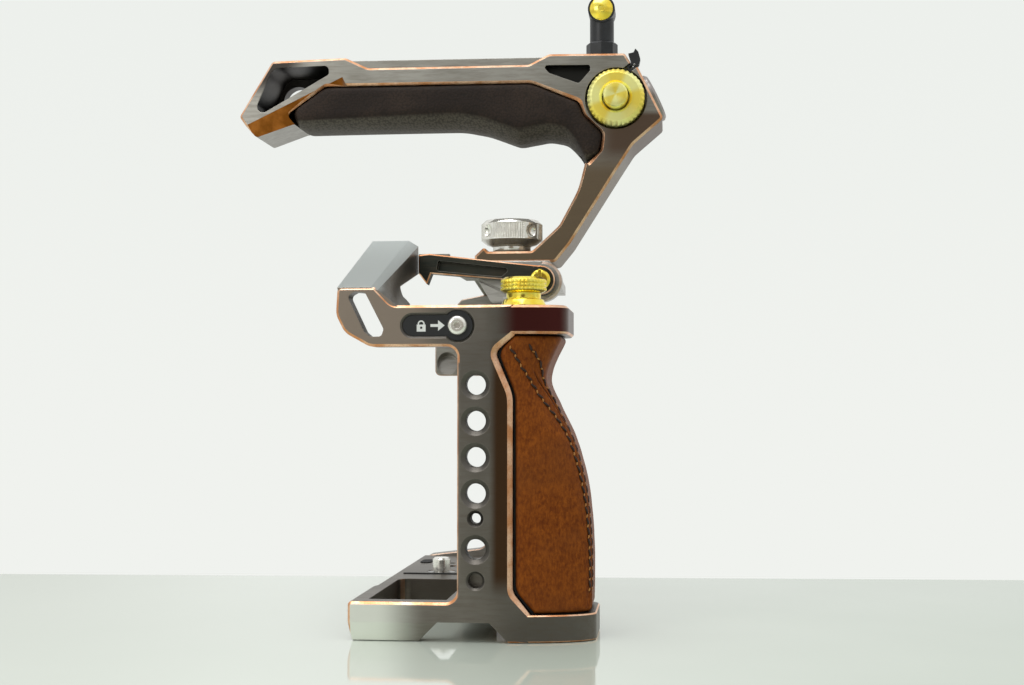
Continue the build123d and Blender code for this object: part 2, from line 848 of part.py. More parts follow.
def port_outline():
    return [
        (base_far_rear_y - 1.0, 0.0, 1.0),
        (base_far_rear_y, 3.0, 1.0),
        (base_far_rear_y, base_top, 3.0),
        (port_strip_rear_y, base_top + 3.0, 4.0),
        (port_strip_rear_y, port_arm_bottom, 3.5),
        (port_arm_rear_y, port_arm_bottom, 2.0),
        (port_arm_rear_y, 95.0, 5.0),
        (1.9, 108.6, 1.5),
        (0.4, port_top - 1.7, 1.0),
        (plate_rear_y, port_top),
        (port_strip_front_y, port_top, 3.0),
        (port_strip_front_y, 0.0, 1.0),
    ]


def port_side_plate():
    wall = plate_x(port_outline(), port_inner_x, port_face_x)
    wall = break_side(break_side(wall, port_face_x, edge_break), port_inner_x, fine_break)
    port_start = port_inner_x - port_foot_length + slip_fit
    rear = port_foot_rear_y - slip_fit
    wall += block(port_start, port_inner_x, base_front_y + 1.0, rear, 0, port_foot_height)
    for x, y in port_tabs:
        wall -= screw_seat(x, y, screw_depth, 9.0)
    for z in port_hole_z:
        wall -= rod_x(thread_radius, port_inner_x - 1, port_face_x + 1, port_hole_y, z)
        wall -= cone_x(thread_radius, thread_rim, port_face_x - thread_sink, port_face_x, port_hole_y, z)
    scoop = Pos(port_inner_x - 1.9, port_scoop_y, port_scoop_z) * Rot(0, 90 + port_scoop_lean, 0)
    wall -= scoop * Cylinder(port_scoop_radius, 8.0)
    for x, y in top_screw_places:
        wall -= rod_z(screw_thread, port_top - 8.0, port_top + 1, x, y)
    return wall


# ---- top plate -------------------------------------------------------------------------------

def top_plate():
    under = plate_top - plate_thickness
    section = [
        (lug_x + 1.0, under),
        (2.0, under),
        (8.0, under + 2.0),
        (plate_flat_x, under + 2.2),
        (port_inner_x, port_top),
        (port_face_x - 0.6, port_top),
        (port_face_x - 0.6, port_top + 3.4, 1.5),
        (port_inner_x - 2.0, port_top + 4.0),
        (plate_flat_x + 4.0, plate_top),
        (lug_x + 1.0, plate_top),
    ]
    bridge = plate_y(section, plate_front_y + 4.0, plate_rear_y)
    bridge = chamfer(bridge.faces().sort_by(Axis.Y)[-1].edges(), fine_break)
    # vertical lug with a round nose that carries the pivot of the swing arm
    nose = rod_x(lug_radius, lug_x, lug_x + lug_thickness, pivot_y, pivot_z)
    nose = chamfer(nose.faces().sort_by(Axis.X)[0].edges(), edge_break)
    web = [
        (pivot_y, pivot_z - lug_radius), (pivot_y, plate_top - 0.3), (plate_rear_y - 6.8, plate_top - 0.3),
        (plate_rear_y - 6.8, pivot_z + 1.3), (plate_rear_y - 11.6, pivot_z - lug_radius),
    ]
    bridge += nose + plate_x(web, lug_x, lug_x + lug_thickness)
    groove = [
        (-14.0, pivot_z + 1.9), (-26.6, pivot_z - 4.2), (-26.6, pivot_z - 5.1), (-14.0, pivot_z + 1.0),
    ]
    bridge -= plate_x(groove, lug_x - 1, lug_x + groove_depth)
    # leg that ties the lug to the grip head
    leg = [
        (lug_x + lug_thickness, pivot_z - 1.0), (lug_x, pivot_z - 1.0), (lug_x, pivot_z - lug_radius + 0.8),
        (leg_x + leg_end_width, leg_top), (leg_x, leg_top), (leg_x, head_top),
        (leg_x + leg_end_width, head_top),
        (lug_x + lug_thickness, pivot_z - lug_radius - 2.4),
    ]
    bridge += plate_y(leg, leg_y - leg_width / 2, leg_y + leg_width / 2)
    bridge -= rod_x(pivot_radius + running_fit, lug_x - 1, lug_x + lug_thickness + 4, pivot_y, pivot_z)
    nut_end = pivot_nut_x + pivot_nut_height + 0.6
    bridge -= rod_x(pivot_nut_radius + 0.6, pivot_nut_x, nut_end, pivot_y, pivot_z)
    bridge -= seat_up(leg_screw_x, leg_y, leg_top, 9.0)
    for x, y in top_screw_places:
        bridge -= seat_up(x, y, top_screw_z, 9.0)
    # clamping thread and locating pins of the handle
    bridge -= rod_z(clamp_thread + running_fit, under - 1, plate_top + 1, 0, clamp_y)
    for y in pin_places:
        depth = locating_pin_length / 2
        bridge -= rod_z(locating_pin_radius, plate_top - depth - 0.3, plate_top + 1, locating_pin_x, y)
    return bridge


def top_screws():
    screws = [screw_up(x, y, top_screw_z, 8.0) for x, y in top_screw_places]
    return screws + [screw_up(leg_screw_x, leg_y, leg_top, 9.0)]


# ---- swing arm -------------------------------------------------------------------------------

def swing_arm():
    """Bar from the pivot to a hook at the hood's end, with a long pocket in its outer face."""
    bar = [
        (arm_end_y, arm_end_z),
        (arm_end_y, arm_end_z - 6.2),
        (arm_end_y - 2.9, arm_end_z - 9.9),
        (arm_end_y - 4.3, arm_end_z - 6.3),
        (-23.8, pivot_z + 0.3),
        (pivot_y, pivot_z - arm_boss_radius + 0.3),
        (pivot_y, pivot_z + arm_boss_radius - 0.1),
        (arm_end_y - 3.7, arm_end_z + 0.4),
    ]
    arm = plate_x(bar, arm_x, arm_x + arm_thickness)
    arm += rod_x(arm_boss_radius, arm_x, arm_x + arm_thickness, pivot_y, pivot_z)
    arm = break_side(arm, arm_x, fine_break)
    pocket = [
        (arm_end_y - 6.7, arm_end_z - 2.0, 0.6),
        (arm_end_y - 6.2, arm_end_z - 5.4, 0.8),
        (-23.9, pivot_z + 1.2, 1.5),
        (-27.0, pivot_z + 3.9, 0.8),
    ]
    arm -= plate_x(pocket, arm_x - 1, arm_x + arm_pocket_depth)
    arm -= rod_x(pivot_radius + running_fit, arm_x - 1, arm_x + arm_thickness + 1, pivot_y, pivot_z)
    front = arm_end_y - leaf_length - slip_fit
    behind = arm_end_y + 1.0
    seat = [(front, leaf_z), (front, leaf_z + 4.0), (behind, leaf_z + 4.0), (behind, leaf_z)]
    margin = leaf_margin - slip_fit
    return arm - plate_x(seat, arm_x + margin, arm_x + arm_thickness - margin)


def arm_leaf():
    """Spring leaf on the arm's rear end."""
    front = arm_end_y - leaf_length
    high = leaf_z + leaf_thickness
    leaf = [(front, leaf_z), (arm_end_y, leaf_z), (arm_end_y, high), (front, high)]
    return plate_x(leaf, arm_x + leaf_margin, arm_x + arm_thickness - leaf_margin)


def arm_pivot_screw():
    head_x = arm_x - pivot_head_height - 0.1
    head = rod_x(pivot_head_radius, head_x, arm_x - 0.1, pivot_y, pivot_z)
    head = fillet(head.faces().sort_by(Axis.X)[0].edges(), 1.2)
    slot = block(head_x - 1, head_x + 0.9, pivot_y - 0.5, pivot_y + 0.5, pivot_z - 4, pivot_z + 4)
    shaft = rod_x(pivot_radius, arm_x - 0.1, pivot_nut_x + pivot_nut_height, pivot_y, pivot_z)
    return head + shaft - slot


def arm_pivot_nut():
    nut = hexagon_x(pivot_nut_radius, pivot_nut_x, pivot_nut_x + pivot_nut_height, pivot_y, pivot_z)
    return nut - rod_x(pivot_radius, pivot_nut_x - 1, pivot_nut_x + 5, pivot_y, pivot_z)


def arm_washer():
    low = arm_x + arm_thickness + 0.05
    disc = rod_x(arm_boss_radius - 0.6, low, lug_x, pivot_y, pivot_z)
    return disc - rod_x(pivot_radius, low - 1, lug_x + 1, pivot_y, pivot_z)


# ---- top handle ------------------------------------------------------------------------------

def handle_outline():
    """Side view of the handle in y and z, from the tail along the top to the foot."""
    top = handle_rise
    return [
        (58.6, top - 0.1, 2.0),
        (32.4, top + 0.5, 3.0),
        (24.3, top - 3.3, 3.0),
        (-31.9, top - 3.5, 3.0),
        (-38.9, top, 3.0),
        (-64.9, top - 0.4, 1.2),
        (-67.4, top - 4.5, 0.5),
        (-69.3, top - 5.1, 1.2),
        (-78.0, top - 23.0, 1.6),
        (-67.6, top - 31.9, 8.0),
        (-62.2, top - 40.2, 5.0),
        (-46.0, 6.1, 4.0),
        (-41.0, 0.0, 2.0),
        (-13.2, 0.0),
        (-13.2, handle_foot_height - 2.6),
        (-16.0, handle_foot_height),
        (clamp_y + 8.0, handle_foot_height),
        (clamp_y + 7.2, handle_foot_height - clamp_seat, 0.8),
        (-33.0, handle_foot_height - clamp_seat, 2.0),
        (-42.4, 12.6, 8.0),
        (-48.9, 24.8, 20.0),
        (-50.6, top - 40.5, 2.5),
        (-51.6, top - 36.3, 2.0),
        (-51.6, top - 25.7),
        (-30.0, top - 25.7),
        (-20.0, top - web_bottom - 0.2),
        (51.4, top - web_bottom - 0.2),
        (64.4, top - 26.7, 1.3),
        (68.0, top - 22.7, 1.3),
        (70.3, top - 19.4, 1.5),
    ]


def grip_pad_outline(grow, lift=0.0):
    """Side view of the soft handle grip; grow moves its metal side outwards, lift raises its lower side."""
    top = handle_rise
    low = top + lift
    return [
        (39.5, top - 9.4 + grow, 2.5),
        (-32.9, top - 9.9 + grow, 8.0),
        (-49.2 - grow, top - 16.7 + grow, 3.0),
        (-50.9 - grow, top - 21.4, 4.0),
        (-57.3 - grow, top - 27.5, 3.0),
        (-56.6 - grow, top - 33.7, 3.0),
        (-51.6 - grow, low - 38.5 - grow - 0.4 * lift, 1.0),
        (-48.2, low - 33.0, 5.0),
        (-44.6, low - 29.4, 4.0),
        (-38.5, low - 28.2, 4.0),
        (-28.0, low - 30.0, 3.5),
        (-17.0, low - 25.8, 8.0),
        (-7.8, low - wrap_bottom, 20.0),
        (49.4 + grow, low - wrap_bottom - grow - 0.5 * lift, 0.8),
        (53.4 + grow - 0.6 * lift, low - 19.0 + grow - 0.6 * lift, 1.5),
    ]


def above_web(grow):
    """Outline of all that lies over the web's lower edge, grown by a gap."""
    top = handle_rise
    edge = [(-49.0, 26.3), (-42.0, 24.9), (-24.0, web_bottom), (70.0, web_bottom)]
    line = [(y - grow if y < -45.0 else y, top - drop - grow) for y, drop in edge]
    return [(-70.0, top + 5.0), (-70.0, top - 45.0), (line[0][0], top - 45.0)] + line + [(70.0, top + 5.0)]


def wrap_room(grow):
    """The soft grip's full width, with a lower side that rounds up to both flanks."""
    half = [(handle_half - inset, grip_pad_outline(grow, rise)) for inset, rise in wrap_rise]
    stations = [(-x, points) for x, points in reversed(half)] + half
    return loft([Plane.YZ.offset(x) * outline(points) for x, points in stations], ruled=True)


def pad_pocket(x_low, x_high):
    return plate_x(grip_pad_outline(0.0), x_low, x_high)


def pocket_bevel(face_x, way):
    """Bevelled mouth of a grip pocket in the face at face_x; way points into the handle."""
    wide = grip_pad_outline(pocket_break + fine_break)
    mouth = Plane.YZ.offset(face_x - way * fine_break) * outline(wide)
    floor = Plane.YZ.offset(face_x + way * pocket_break) * outline(grip_pad_outline(0.0))
    return loft([mouth, floor], ruled=True)


def tail_bevel(side):
    """What the bevel below the tail's window takes off the flank on that side, -1 or 1."""
    (start_y, start_drop), (end_y, end_drop) = tail_bevel_line
    start = Vector(side * handle_half, start_y, handle_rise + start_drop)
    end = Vector(side * handle_half, end_y, handle_rise + end_drop)
    along = (end - start).normalized()
    outwards = Vector(side, 0, 0)
    below = outwards.cross(along)
    if below.Z > 0:
        below = -below
    tilt = radians(tail_bevel_tilt)
    bevel = Plane((start + end) / 2, x_dir=along, z_dir=outwards * cos(tilt) + below * sin(tilt))
    return extrude(bevel * Rectangle((end - start).length + 8.0, 30.0), 8.0)


def handle_frame():
    top = handle_rise
    body = plate_x(handle_outline(), -handle_half, handle_half)
    faces = body.faces().filter_by(Plane.YZ).sort_by(Axis.X)
    body = chamfer(faces[0].outer_wire().edges() + faces[-1].outer_wire().edges(), edge_break)
    # both flanks drop between the tail and the head, and leave a rail along the top
    rail = [(34.0, top - 6.3), (34.0, top + 0.3), (-40.0, top - 0.2), (-40.0, top - 6.3)]
    body += plate_x(rail, -handle_rail_half, handle_rail_half)
    # bevels below the tail's window, then pockets for the soft grip on both sides of a web
    body -= tail_bevel(-1)
    body -= tail_bevel(1)
    web = plate_x(above_web(0.0), -handle_web_half, handle_web_half)
    body -= pad_pocket(-handle_half - 1, handle_half + 1) - web
    body -= pocket_bevel(-handle_half, 1)
    body -= pocket_bevel(handle_half, -1)
    # window in the tail, with a round eye in its floor
    window = [
        (66.2, top - 21.0, 2.2), (58.3, top - 2.6, 4.0), (38.2, top - 2.1, 1.8),
        (38.2, top - 5.3, 1.2),
    ]
    floor_x = handle_half - window_floor
    body -= plate_x(window, -handle_half - 1, floor_x)
    body -= rod_x(window_eye_radius, floor_x - 0.1, handle_half + 1, window_eye_y, window_eye_rise)
    # small pocket in front of the rail
    pocket = [
        (-36.6, top - 3.9, 0.8), (-53.1, top - 4.2, 0.8), (-53.1, top - 6.1, 0.8),
        (-49.2, top - 10.5, 1.0), (-39.0, top - 6.7, 0.8),
    ]
    body -= plate_x(pocket, -handle_half - 1, -handle_half + front_pocket_depth)
    body -= plate_x(pocket, handle_half - front_pocket_depth, handle_half + 1)
    # seat, bore and cavity of the side knob
    body -= rod_x(knob_radius + knob_recess_gap, -handle_half - 1, head_recess_x, knob_y, knob_rise)
    body -= rod_x(shaft_radius + running_fit, head_recess_x - 1, handle_half, knob_y, knob_rise)
    cover_x = handle_half - cover_thickness
    body -= rod_x(shaft_collar + 0.6, cover_x - cover_cavity, handle_half + 1, knob_y, knob_rise)
    body -= rod_x(cover_radius + slip_fit, cover_x, handle_half + 1, knob_y, knob_rise)
    # slot and pin bore of the catch
    body -= catch_slot()
    body -= rod_x(catch_pin_radius, -handle_half - 1, -handle_half + 6.0, *catch_pin_place)
    # front boss and post
    body -= boss_frame() * Pos(0, 0, -boss_depth / 2 + 1) * Cylinder(boss_spigot, boss_depth + 2)
    body -= rod_z(post_base_radius + slip_fit, post_seat_rise, post_seat_rise + 5, 0, post_y)
    pin_end = post_seat_rise - post_pin_depth
    body -= rod_z(post_pin_radius + running_fit, pin_end - 1, post_seat_rise + 5, 0, post_y)
    # foot
    body -= rod_z(clamp_thread + slip_fit, -1, handle_foot_height + 1, 0, clamp_y)
    for y in pin_places:
        body -= rod_z(locating_pin_radius, -1, locating_pin_length / 2 + 0.3, locating_pin_x, y)
    return body


def along_catch(start, end, half):
    """Strip along the catch's way; start and end count from its inner end."""
    side = (catch_way[1], -catch_way[0])
    ends = []
    for reach in (start, end):
        ends.append((catch_start[0] + reach * catch_way[0], catch_start[1] + reach * catch_way[1]))
    near = [(y + half * side[0], z + half * side[1]) for y, z in ends]
    far = [(y - half * side[0], z - half * side[1]) for y, z in reversed(ends)]
    return near + far


def catch_slot():
    """Slanted slot from the knob's seat out through the head's corner."""
    strip = along_catch(-2.5, 8.0, catch_half + slip_fit)
    return plate_x(strip, -handle_half - 1, catch_x + catch_thickness + catch_slot_gap)


def catch_lever():
    """Sliding blade in the slot with a finger tab outside the head's corner."""
    top = handle_rise
    low = catch_x
    high = catch_x + catch_thickness
    blade = plate_x(along_catch(0.0, catch_length, catch_half), low, high)
    tab = [
        (-67.3, top - 4.4), (-66.5, top - 1.7), (-66.1, top - 0.4), (-67.9, top), (-68.5, top + 1.3),
        (-69.5, top + 0.2), (-70.2, top - 2.3), (-69.8, top - 4.1), (-68.9, top - 4.4),
    ]
    lever = blade + plate_x(tab, low, high + 1.0)
    room = catch_pin_radius + 0.1
    slot = along_catch(catch_reach - catch_travel - room, catch_reach + room, room)
    return lever - plate_x(slot, low - 1, high + 2)


def catch_pin():
    return rod_x(catch_pin_radius, -handle_half + 0.4, -handle_half + 6.0, *catch_pin_place)


def boss_frame():
    """Middle of the head's slanted front face, looking out of it."""
    high = (-69.3, handle_rise - 5.1)
    low = (-78.0, handle_rise - 23.0)
    middle = ((high[0] + low[0]) / 2, (high[1] + low[1]) / 2)
    lean = degrees(atan2(high[0] - low[0], high[1] - low[1]))
    return Pos(0, *middle) * Rot(90 - lean, 0, 0)


def head_boss():
    insert = Pos(0, 0, boss_proud / 2) * Cylinder(boss_radius, boss_proud)
    insert = chamfer(insert.faces().sort_by(Axis.Z)[-1].edges(), 0.8)
    insert += Pos(0, 0, -boss_depth / 2) * Cylinder(boss_spigot, boss_depth)
    insert -= Cylinder(thread_radius, 40)
    return boss_frame() * insert


def handle_grip():
    """Soft wrap that fills both pockets and closes under the web."""
    half = handle_web_half + slip_fit
    return wrap_room(-slip_fit) - plate_x(above_web(slip_fit), -half, half)


def handle_knob():
    """Clamping knob with round dimples between knurled lands."""
    low = handle_foot_height - clamp_seat + 0.1
    rim = low + clamp_collar_height
    body = rod_z(clamp_radius, rim, rim + clamp_height, 0, 0)
    body = chamfer(body.edges(), 1.0)
    body += rod_z(clamp_collar_radius, low, rim, 0, 0)
    for n in range(clamp_dimple_count):
        angle = 360 / clamp_dimple_count * (n + 0.5)
        place = Rot(0, 0, angle) * Pos(clamp_radius + clamp_dimple_out, 0, rim + clamp_height / 2)
        body -= place * Sphere(clamp_dimple_radius)
    body -= rod_z(clamp_thread, low - 1, low + clamp_height, 0, 0)
    return Pos(0, clamp_y, 0) * body


def handle_screw():
    low = -plate_thickness - 2.0
    high = handle_foot_height - clamp_seat + 0.1 + clamp_height
    stud = rod_z(clamp_thread, low, high, 0, clamp_y)
    return chamfer(stud.faces().sort_by(Axis.Z)[0].edges(), 0.6)


def locating_pins():
    half = locating_pin_length / 2
    return [rod_z(locating_pin_radius, -half, half, locating_pin_x, y) for y in pin_places]


# ---- knob and push button --------------------------------------------------------------------

def side_knob():
    low = knob_face_x
    high = head_recess_x - 0.2
    knob = rod_x(knob_radius, low, high, 0, 0)
    knob = chamfer(knob.faces().sort_by(Axis.X)[0].edges(), knob_break)
    notch_x = (low + knob_break + high) / 2
    for n in range(knob_notches):
        place = Rot(360 / knob_notches * n, 0, 0) * Pos(notch_x, 0, knob_radius + knob_notch_out)
        knob -= place * Rot(0, 90, 0) * Cylinder(knob_notch_radius, high - low + 0.1)
    knob -= rod_x(button_bore, low - 1, low + button_well, 0, 0)
    knob -= cone_x(button_bore + button_bore_break, button_bore, low, low + button_bore_break, 0, 0)
    knob -= rod_x(shaft_radius, low, high + 1, 0, 0)
    return Pos(0, knob_y, knob_rise) * knob


def knob_shaft():
    """Sleeve pressed into the knob, turning in the head."""
    low = knob_face_x + button_well
    high = handle_half - cover_thickness - 1.5
    sleeve = rod_x(shaft_radius, low, high, knob_y, knob_rise)
    return sleeve - rod_x(button_stem + running_fit, low - 1, high + 1, knob_y, knob_rise)


def knob_retainer():
    """Ring on the shaft's far end."""
    low = handle_half - cover_thickness - cover_cavity + 0.3
    ring = rod_x(shaft_collar, low, low + retainer_thickness, knob_y, knob_rise)
    return ring - rod_x(shaft_radius, low - 1, low + 3, knob_y, knob_rise)


def knob_button():
    low = knob_face_x - button_proud
    high = knob_face_x + button_well - spring_height - button_travel - 0.1
    cap = rod_x(button_radius, low, high, knob_y, knob_rise)
    cap = chamfer(cap.faces().sort_by(Axis.X)[0].edges(), 0.5)
    return cap + rod_x(button_stem, high, handle_half - cover_thickness - 3.0, knob_y, knob_rise)


def button_spring():
    """Stack of wave washers under the button, drawn at its pressed height."""
    high = knob_face_x + button_well
    low = high - spring_height
    ring = rod_x(button_radius - 0.2, low, high, knob_y, knob_rise)
    return ring - rod_x(button_stem + 0.6, low - 1, high + 1, knob_y, knob_rise)


def head_cover():
    low = handle_half - cover_thickness
    disc = rod_x(cover_radius, low, handle_half, knob_y, knob_rise)
    return chamfer(disc.faces().sort_by(Axis.X)[-1].edges(), fine_break)


# ---- accessory post --------------------------------------------------------------------------

def post_base():
    low = post_seat_rise
    ring = Pos(0, post_y, low) * extrude(RegularPolygon(post_base_radius, 8), post_base_height)
    ring = chamfer(ring.faces().sort_by(Axis.Z)[-1].edges(), 0.6)
    return ring - rod_z(post_pin_radius + running_fit, low - 1, low + post_base_height + 1, 0, post_y)


def post():
    low = post_seat_rise + post_base_height + 0.1
    stem = rod_z(post_radius, low, post_eye_rise, 0, post_y)
    stem += rod_x(post_eye_radius, -post_eye_half, post_eye_half, post_y, post_eye_rise)
    stem += rod_z(post_pin_radius, post_seat_rise - post_pin_depth, low, 0, post_y)
    stem -= rod_x(cap_thread + running_fit, -post_eye_half - 1, post_eye_half + 1, post_y, post_eye_rise)
    return stem - hexagon_x(post_nut_radius + 0.1, post_nut_x, post_eye_half + 1, post_y, post_eye_rise)


def post_cap_screw():
    face = -post_eye_half
    dome = (cap_radius ** 2 + cap_height ** 2) / (2 * cap_height)
    ball = Pos(face - cap_height + dome, post_y, post_eye_rise) * Sphere(dome)
    head = ball & rod_x(cap_radius, face - cap_height - 1, face, post_y, post_eye_rise)
    outside = face - cap_height - 1
    head -= hexagon_x(cap_socket, outside, outside + 1 + cap_socket_depth, post_y, post_eye_rise)
    return head + rod_x(cap_thread, face, post_eye_half - 0.2, post_y, post_eye_rise)


def post_nut():
    high = post_nut_x + post_nut_height
    nut = hexagon_x(post_nut_radius, post_nut_x, high, post_y, post_eye_rise)
    return nut - rod_x(cap_thread + running_fit, post_nut_x - 1, high + 1, post_y, post_eye_rise)


# ---- export ----------------------------------------------------------------------------------

cage_pieces = [
    base_plate,
    camera_pads,
    camera_screw,
    screw_clip,
    base_screws,
    side_frame,
    lock_label,
    lock_screw,
    grip_core,
    grip_leather,
    grip_screws,
    grip_thumb_screw,
    port_side_plate,
    top_plate,
    top_screws,
    swing_arm,
    arm_leaf,
    arm_pivot_screw,
    arm_pivot_nut,
    arm_washer,
]

handle_pieces = [
    handle_frame,
    handle_grip,
    handle_knob,
    handle_screw,
    locating_pins,
    side_knob,
    knob_shaft,
    knob_retainer,
    knob_button,
    button_spring,
    head_cover,
    catch_lever,
    catch_pin,
    head_boss,
    post_base,
    post,
    post_cap_screw,
    post_nut,
]


def write_piece(make, lift):
    """Write the piece's solids as one STEP file, moved to the tripod thread."""
    made = make()
    parts = made if isinstance(made, list) else [made]
    moved = [Pos(-tripod_offset, 0, lift) * solid for part in parts for solid in part.solids()]
    shape = moved[0] if len(moved) == 1 else Compound(children=moved)
    export_step(shape, f"parts/{make.__name__}.step")


os.makedirs("parts", exist_ok=True)
for make in cage_pieces:
    write_piece(make, 0)
for make in handle_pieces:
    write_piece(make, plate_top)
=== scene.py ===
# %% [markdown]
# # A camera cage with a leather grip and a top handle
# The cage is a machined frame that a camera sits in. It has a side frame with threaded holes, a
# grip with a stitched leather cover, a hood with a swing arm, and a top handle with gold and
# chrome knobs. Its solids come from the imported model. This script gives them their finishes and
# makes what a plain solid can't show: leather, stitches, soft wrap and turned knobs.

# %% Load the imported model
import bisect
import math

import bmesh
import bpy
from mathutils import Matrix, Vector, noise


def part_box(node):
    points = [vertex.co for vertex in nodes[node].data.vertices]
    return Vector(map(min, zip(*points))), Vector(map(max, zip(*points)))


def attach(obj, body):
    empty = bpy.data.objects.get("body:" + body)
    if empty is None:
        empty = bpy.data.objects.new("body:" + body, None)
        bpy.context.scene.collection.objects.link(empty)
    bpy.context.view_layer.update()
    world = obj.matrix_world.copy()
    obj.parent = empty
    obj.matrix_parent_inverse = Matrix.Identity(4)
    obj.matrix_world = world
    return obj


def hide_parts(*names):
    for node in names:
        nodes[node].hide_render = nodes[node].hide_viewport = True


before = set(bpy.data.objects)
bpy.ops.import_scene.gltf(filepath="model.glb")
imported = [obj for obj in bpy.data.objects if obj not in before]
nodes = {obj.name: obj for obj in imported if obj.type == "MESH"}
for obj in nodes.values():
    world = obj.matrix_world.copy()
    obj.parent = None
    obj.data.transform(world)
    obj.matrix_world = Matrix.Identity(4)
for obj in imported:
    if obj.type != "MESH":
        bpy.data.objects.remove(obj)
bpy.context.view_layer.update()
MM = 0.001


def box_of(node):
    """Corners of a node's box in millimetres."""
    return [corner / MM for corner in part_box(node)]


def add_object(name, data):
    """A new object in the scene."""
    made = bpy.data.objects.new(name, data)
    bpy.context.scene.collection.objects.link(made)
    return made


# %% [markdown]
# ## Camera
# The cage stands on a table and the lens looks at its side, a little upwards. The camera is placed
# by its eye point and by two angles: how far it turns about the vertical and how far it tilts up.

# %% Camera
turn = math.radians(6.2566)
tilt = math.radians(2.2866)
eye = Vector((-517.5, -79.79, 71.386)) * MM
ahead = Vector((math.cos(tilt) * math.cos(turn), math.cos(tilt) * math.sin(turn), math.sin(tilt)))

lens = bpy.data.cameras.new("side_view")
lens.sensor_width = 36.0
lens.lens = 50.625
lens.clip_start = 0.01
camera = add_object("side_view", lens)
camera.location = eye
camera.rotation_mode = "QUATERNION"
camera.rotation_quaternion = ahead.to_track_quat("-Z", "Y")
bpy.context.scene.camera = camera
bpy.context.scene.view_settings.view_transform = "Standard"
print("camera at", [round(v, 4) for v in eye])

# %% [markdown]
# ## A small language for finishes
# A finish is a tree of shader nodes, which is long and hard to read node by node, so two small
# classes help. `Signal` wraps an output socket and takes part in Python sums, and each sum adds
# one Math node. Its `rise`, `past` and `before` are soft steps, which make masks.

# %% Signals
def sum_node(operation, backwards=False):
    """A method that adds one Math node for a signal and its other values."""
    def method(self, *others):
        values = (*others, self) if backwards else (self, *others)
        return self.finish.add("Math", {"operation": operation}, dict(enumerate(values)))
    return method


class Signal:
    """An output socket that can be added, multiplied and compared like a number."""

    def __init__(self, finish, socket):
        self.finish = finish
        self.socket = socket

    __add__, __radd__ = sum_node("ADD"), sum_node("ADD", backwards=True)
    __sub__, __rsub__ = sum_node("SUBTRACT"), sum_node("SUBTRACT", backwards=True)
    __mul__, __truediv__ = sum_node("MULTIPLY"), sum_node("DIVIDE")
    __abs__, most = sum_node("ABSOLUTE"), sum_node("MAXIMUM")
    sine, root, angle_from = sum_node("SINE"), sum_node("SQRT"), sum_node("ARCTAN2")

    def reach(self, other):
        """Length of the line from the origin to the point (self, other)."""
        return (self * self + other * other).root()

    def rise(self, low, high):
        """0 at low, 1 at high and a smooth step between them; it falls where high is lower."""
        settings = {"interpolation_type": "SMOOTHSTEP"}
        return self.finish.add("MapRange", settings, {"Value": self, "From Min": low, "From Max": high})

    def past(self, place, soft):
        """1 above a place, 0 below it, over a step of soft either way."""
        return self.rise(place - soft, place + soft)

    def before(self, place, soft):
        """1 below a place, 0 above it, over a step of soft either way."""
        return self.rise(place + soft, place - soft)

    def inside(self, low, high, soft):
        """1 between low and high, 0 outside, with soft shoulders."""
        return self.past(low, soft) * self.before(high, soft)


print("a signal can add, multiply and step")

# %% [markdown]
# `Finish` holds a material and adds any node by its name, with its settings and sockets. Colours
# are given as they look on screen, and `tone` turns them into the shader's linear values.

# %% Finishes
class Finish:
    """A material whose nodes are added by name."""

    def __init__(self, name, **constants):
        self.material = bpy.data.materials.new(name)
        self.material.use_nodes = True
        self.tree = self.material.node_tree
        self.shader = self.tree.nodes["Principled BSDF"]
        for socket, value in constants.items():
            self.shader.inputs[socket.replace("_", " ")].default_value = value

    def add(self, kind, settings=None, sockets=None, out=0):
        node = self.tree.nodes.new("ShaderNode" + kind)
        for key, value in (settings or {}).items():
            setattr(node, key, value)
        for key, value in (sockets or {}).items():
            if isinstance(value, Signal):
                self.tree.links.new(value.socket, node.inputs[key])
            else:
                node.inputs[key].default_value = value
        return Signal(self, node.outputs[out])

    def wire(self, **sockets):
        for key, value in sockets.items():
            self.tree.links.new(value.socket, self.shader.inputs[key.replace("_", " ")])

    def place(self, scale=(1, 1, 1)):
        """Object coordinates, stretched by scale."""
        spot = self.add("TexCoord", out="Object")
        return self.add("Mapping", None, {"Vector": spot, "Scale": scale})

    def axes(self, vector):
        """The three parts of a vector."""
        split = self.add("SeparateXYZ", None, {"Vector": vector})
        return [Signal(self, output) for output in split.socket.node.outputs]

    def grain(self, size, detail=3.0, rough=0.5, place=None):
        """Noise whose patches are about size metres across, from 0 to 1."""
        sockets = {"Vector": place or self.place(), "Scale": 1.0 / size, "Detail": detail, "Roughness": rough}
        return self.add("TexNoise", None, sockets)

    def cells(self, size, settings, place, **sockets):
        """Distances to the nearest of many points about size metres apart."""
        return self.add("TexVoronoi", settings, {"Vector": place, "Scale": 1.0 / size, **sockets})

    def blend(self, factor, first, second):
        return self.add("Mix", {"data_type": "RGBA"}, {0: factor, 6: first, 7: second}, out=2)

    def bump(self, height, depth, normal=None):
        """Surface normal from a height between 0 and 1 that stands for depth metres."""
        sockets = {"Height": height, "Distance": depth, "Strength": 1.0}
        if normal:
            sockets["Normal"] = normal
        return self.add("Bump", None, sockets)


def tone(red, green, blue):
    """Linear colour of a screen colour given as 0 to 255."""
    parts = [part / 255 for part in (red, green, blue)]
    linear = [part / 12.92 if part <= 0.04045 else ((part + 0.055) / 1.055) ** 2.4 for part in parts]
    return (*linear, 1.0)


print("white is", tone(255, 255, 255))
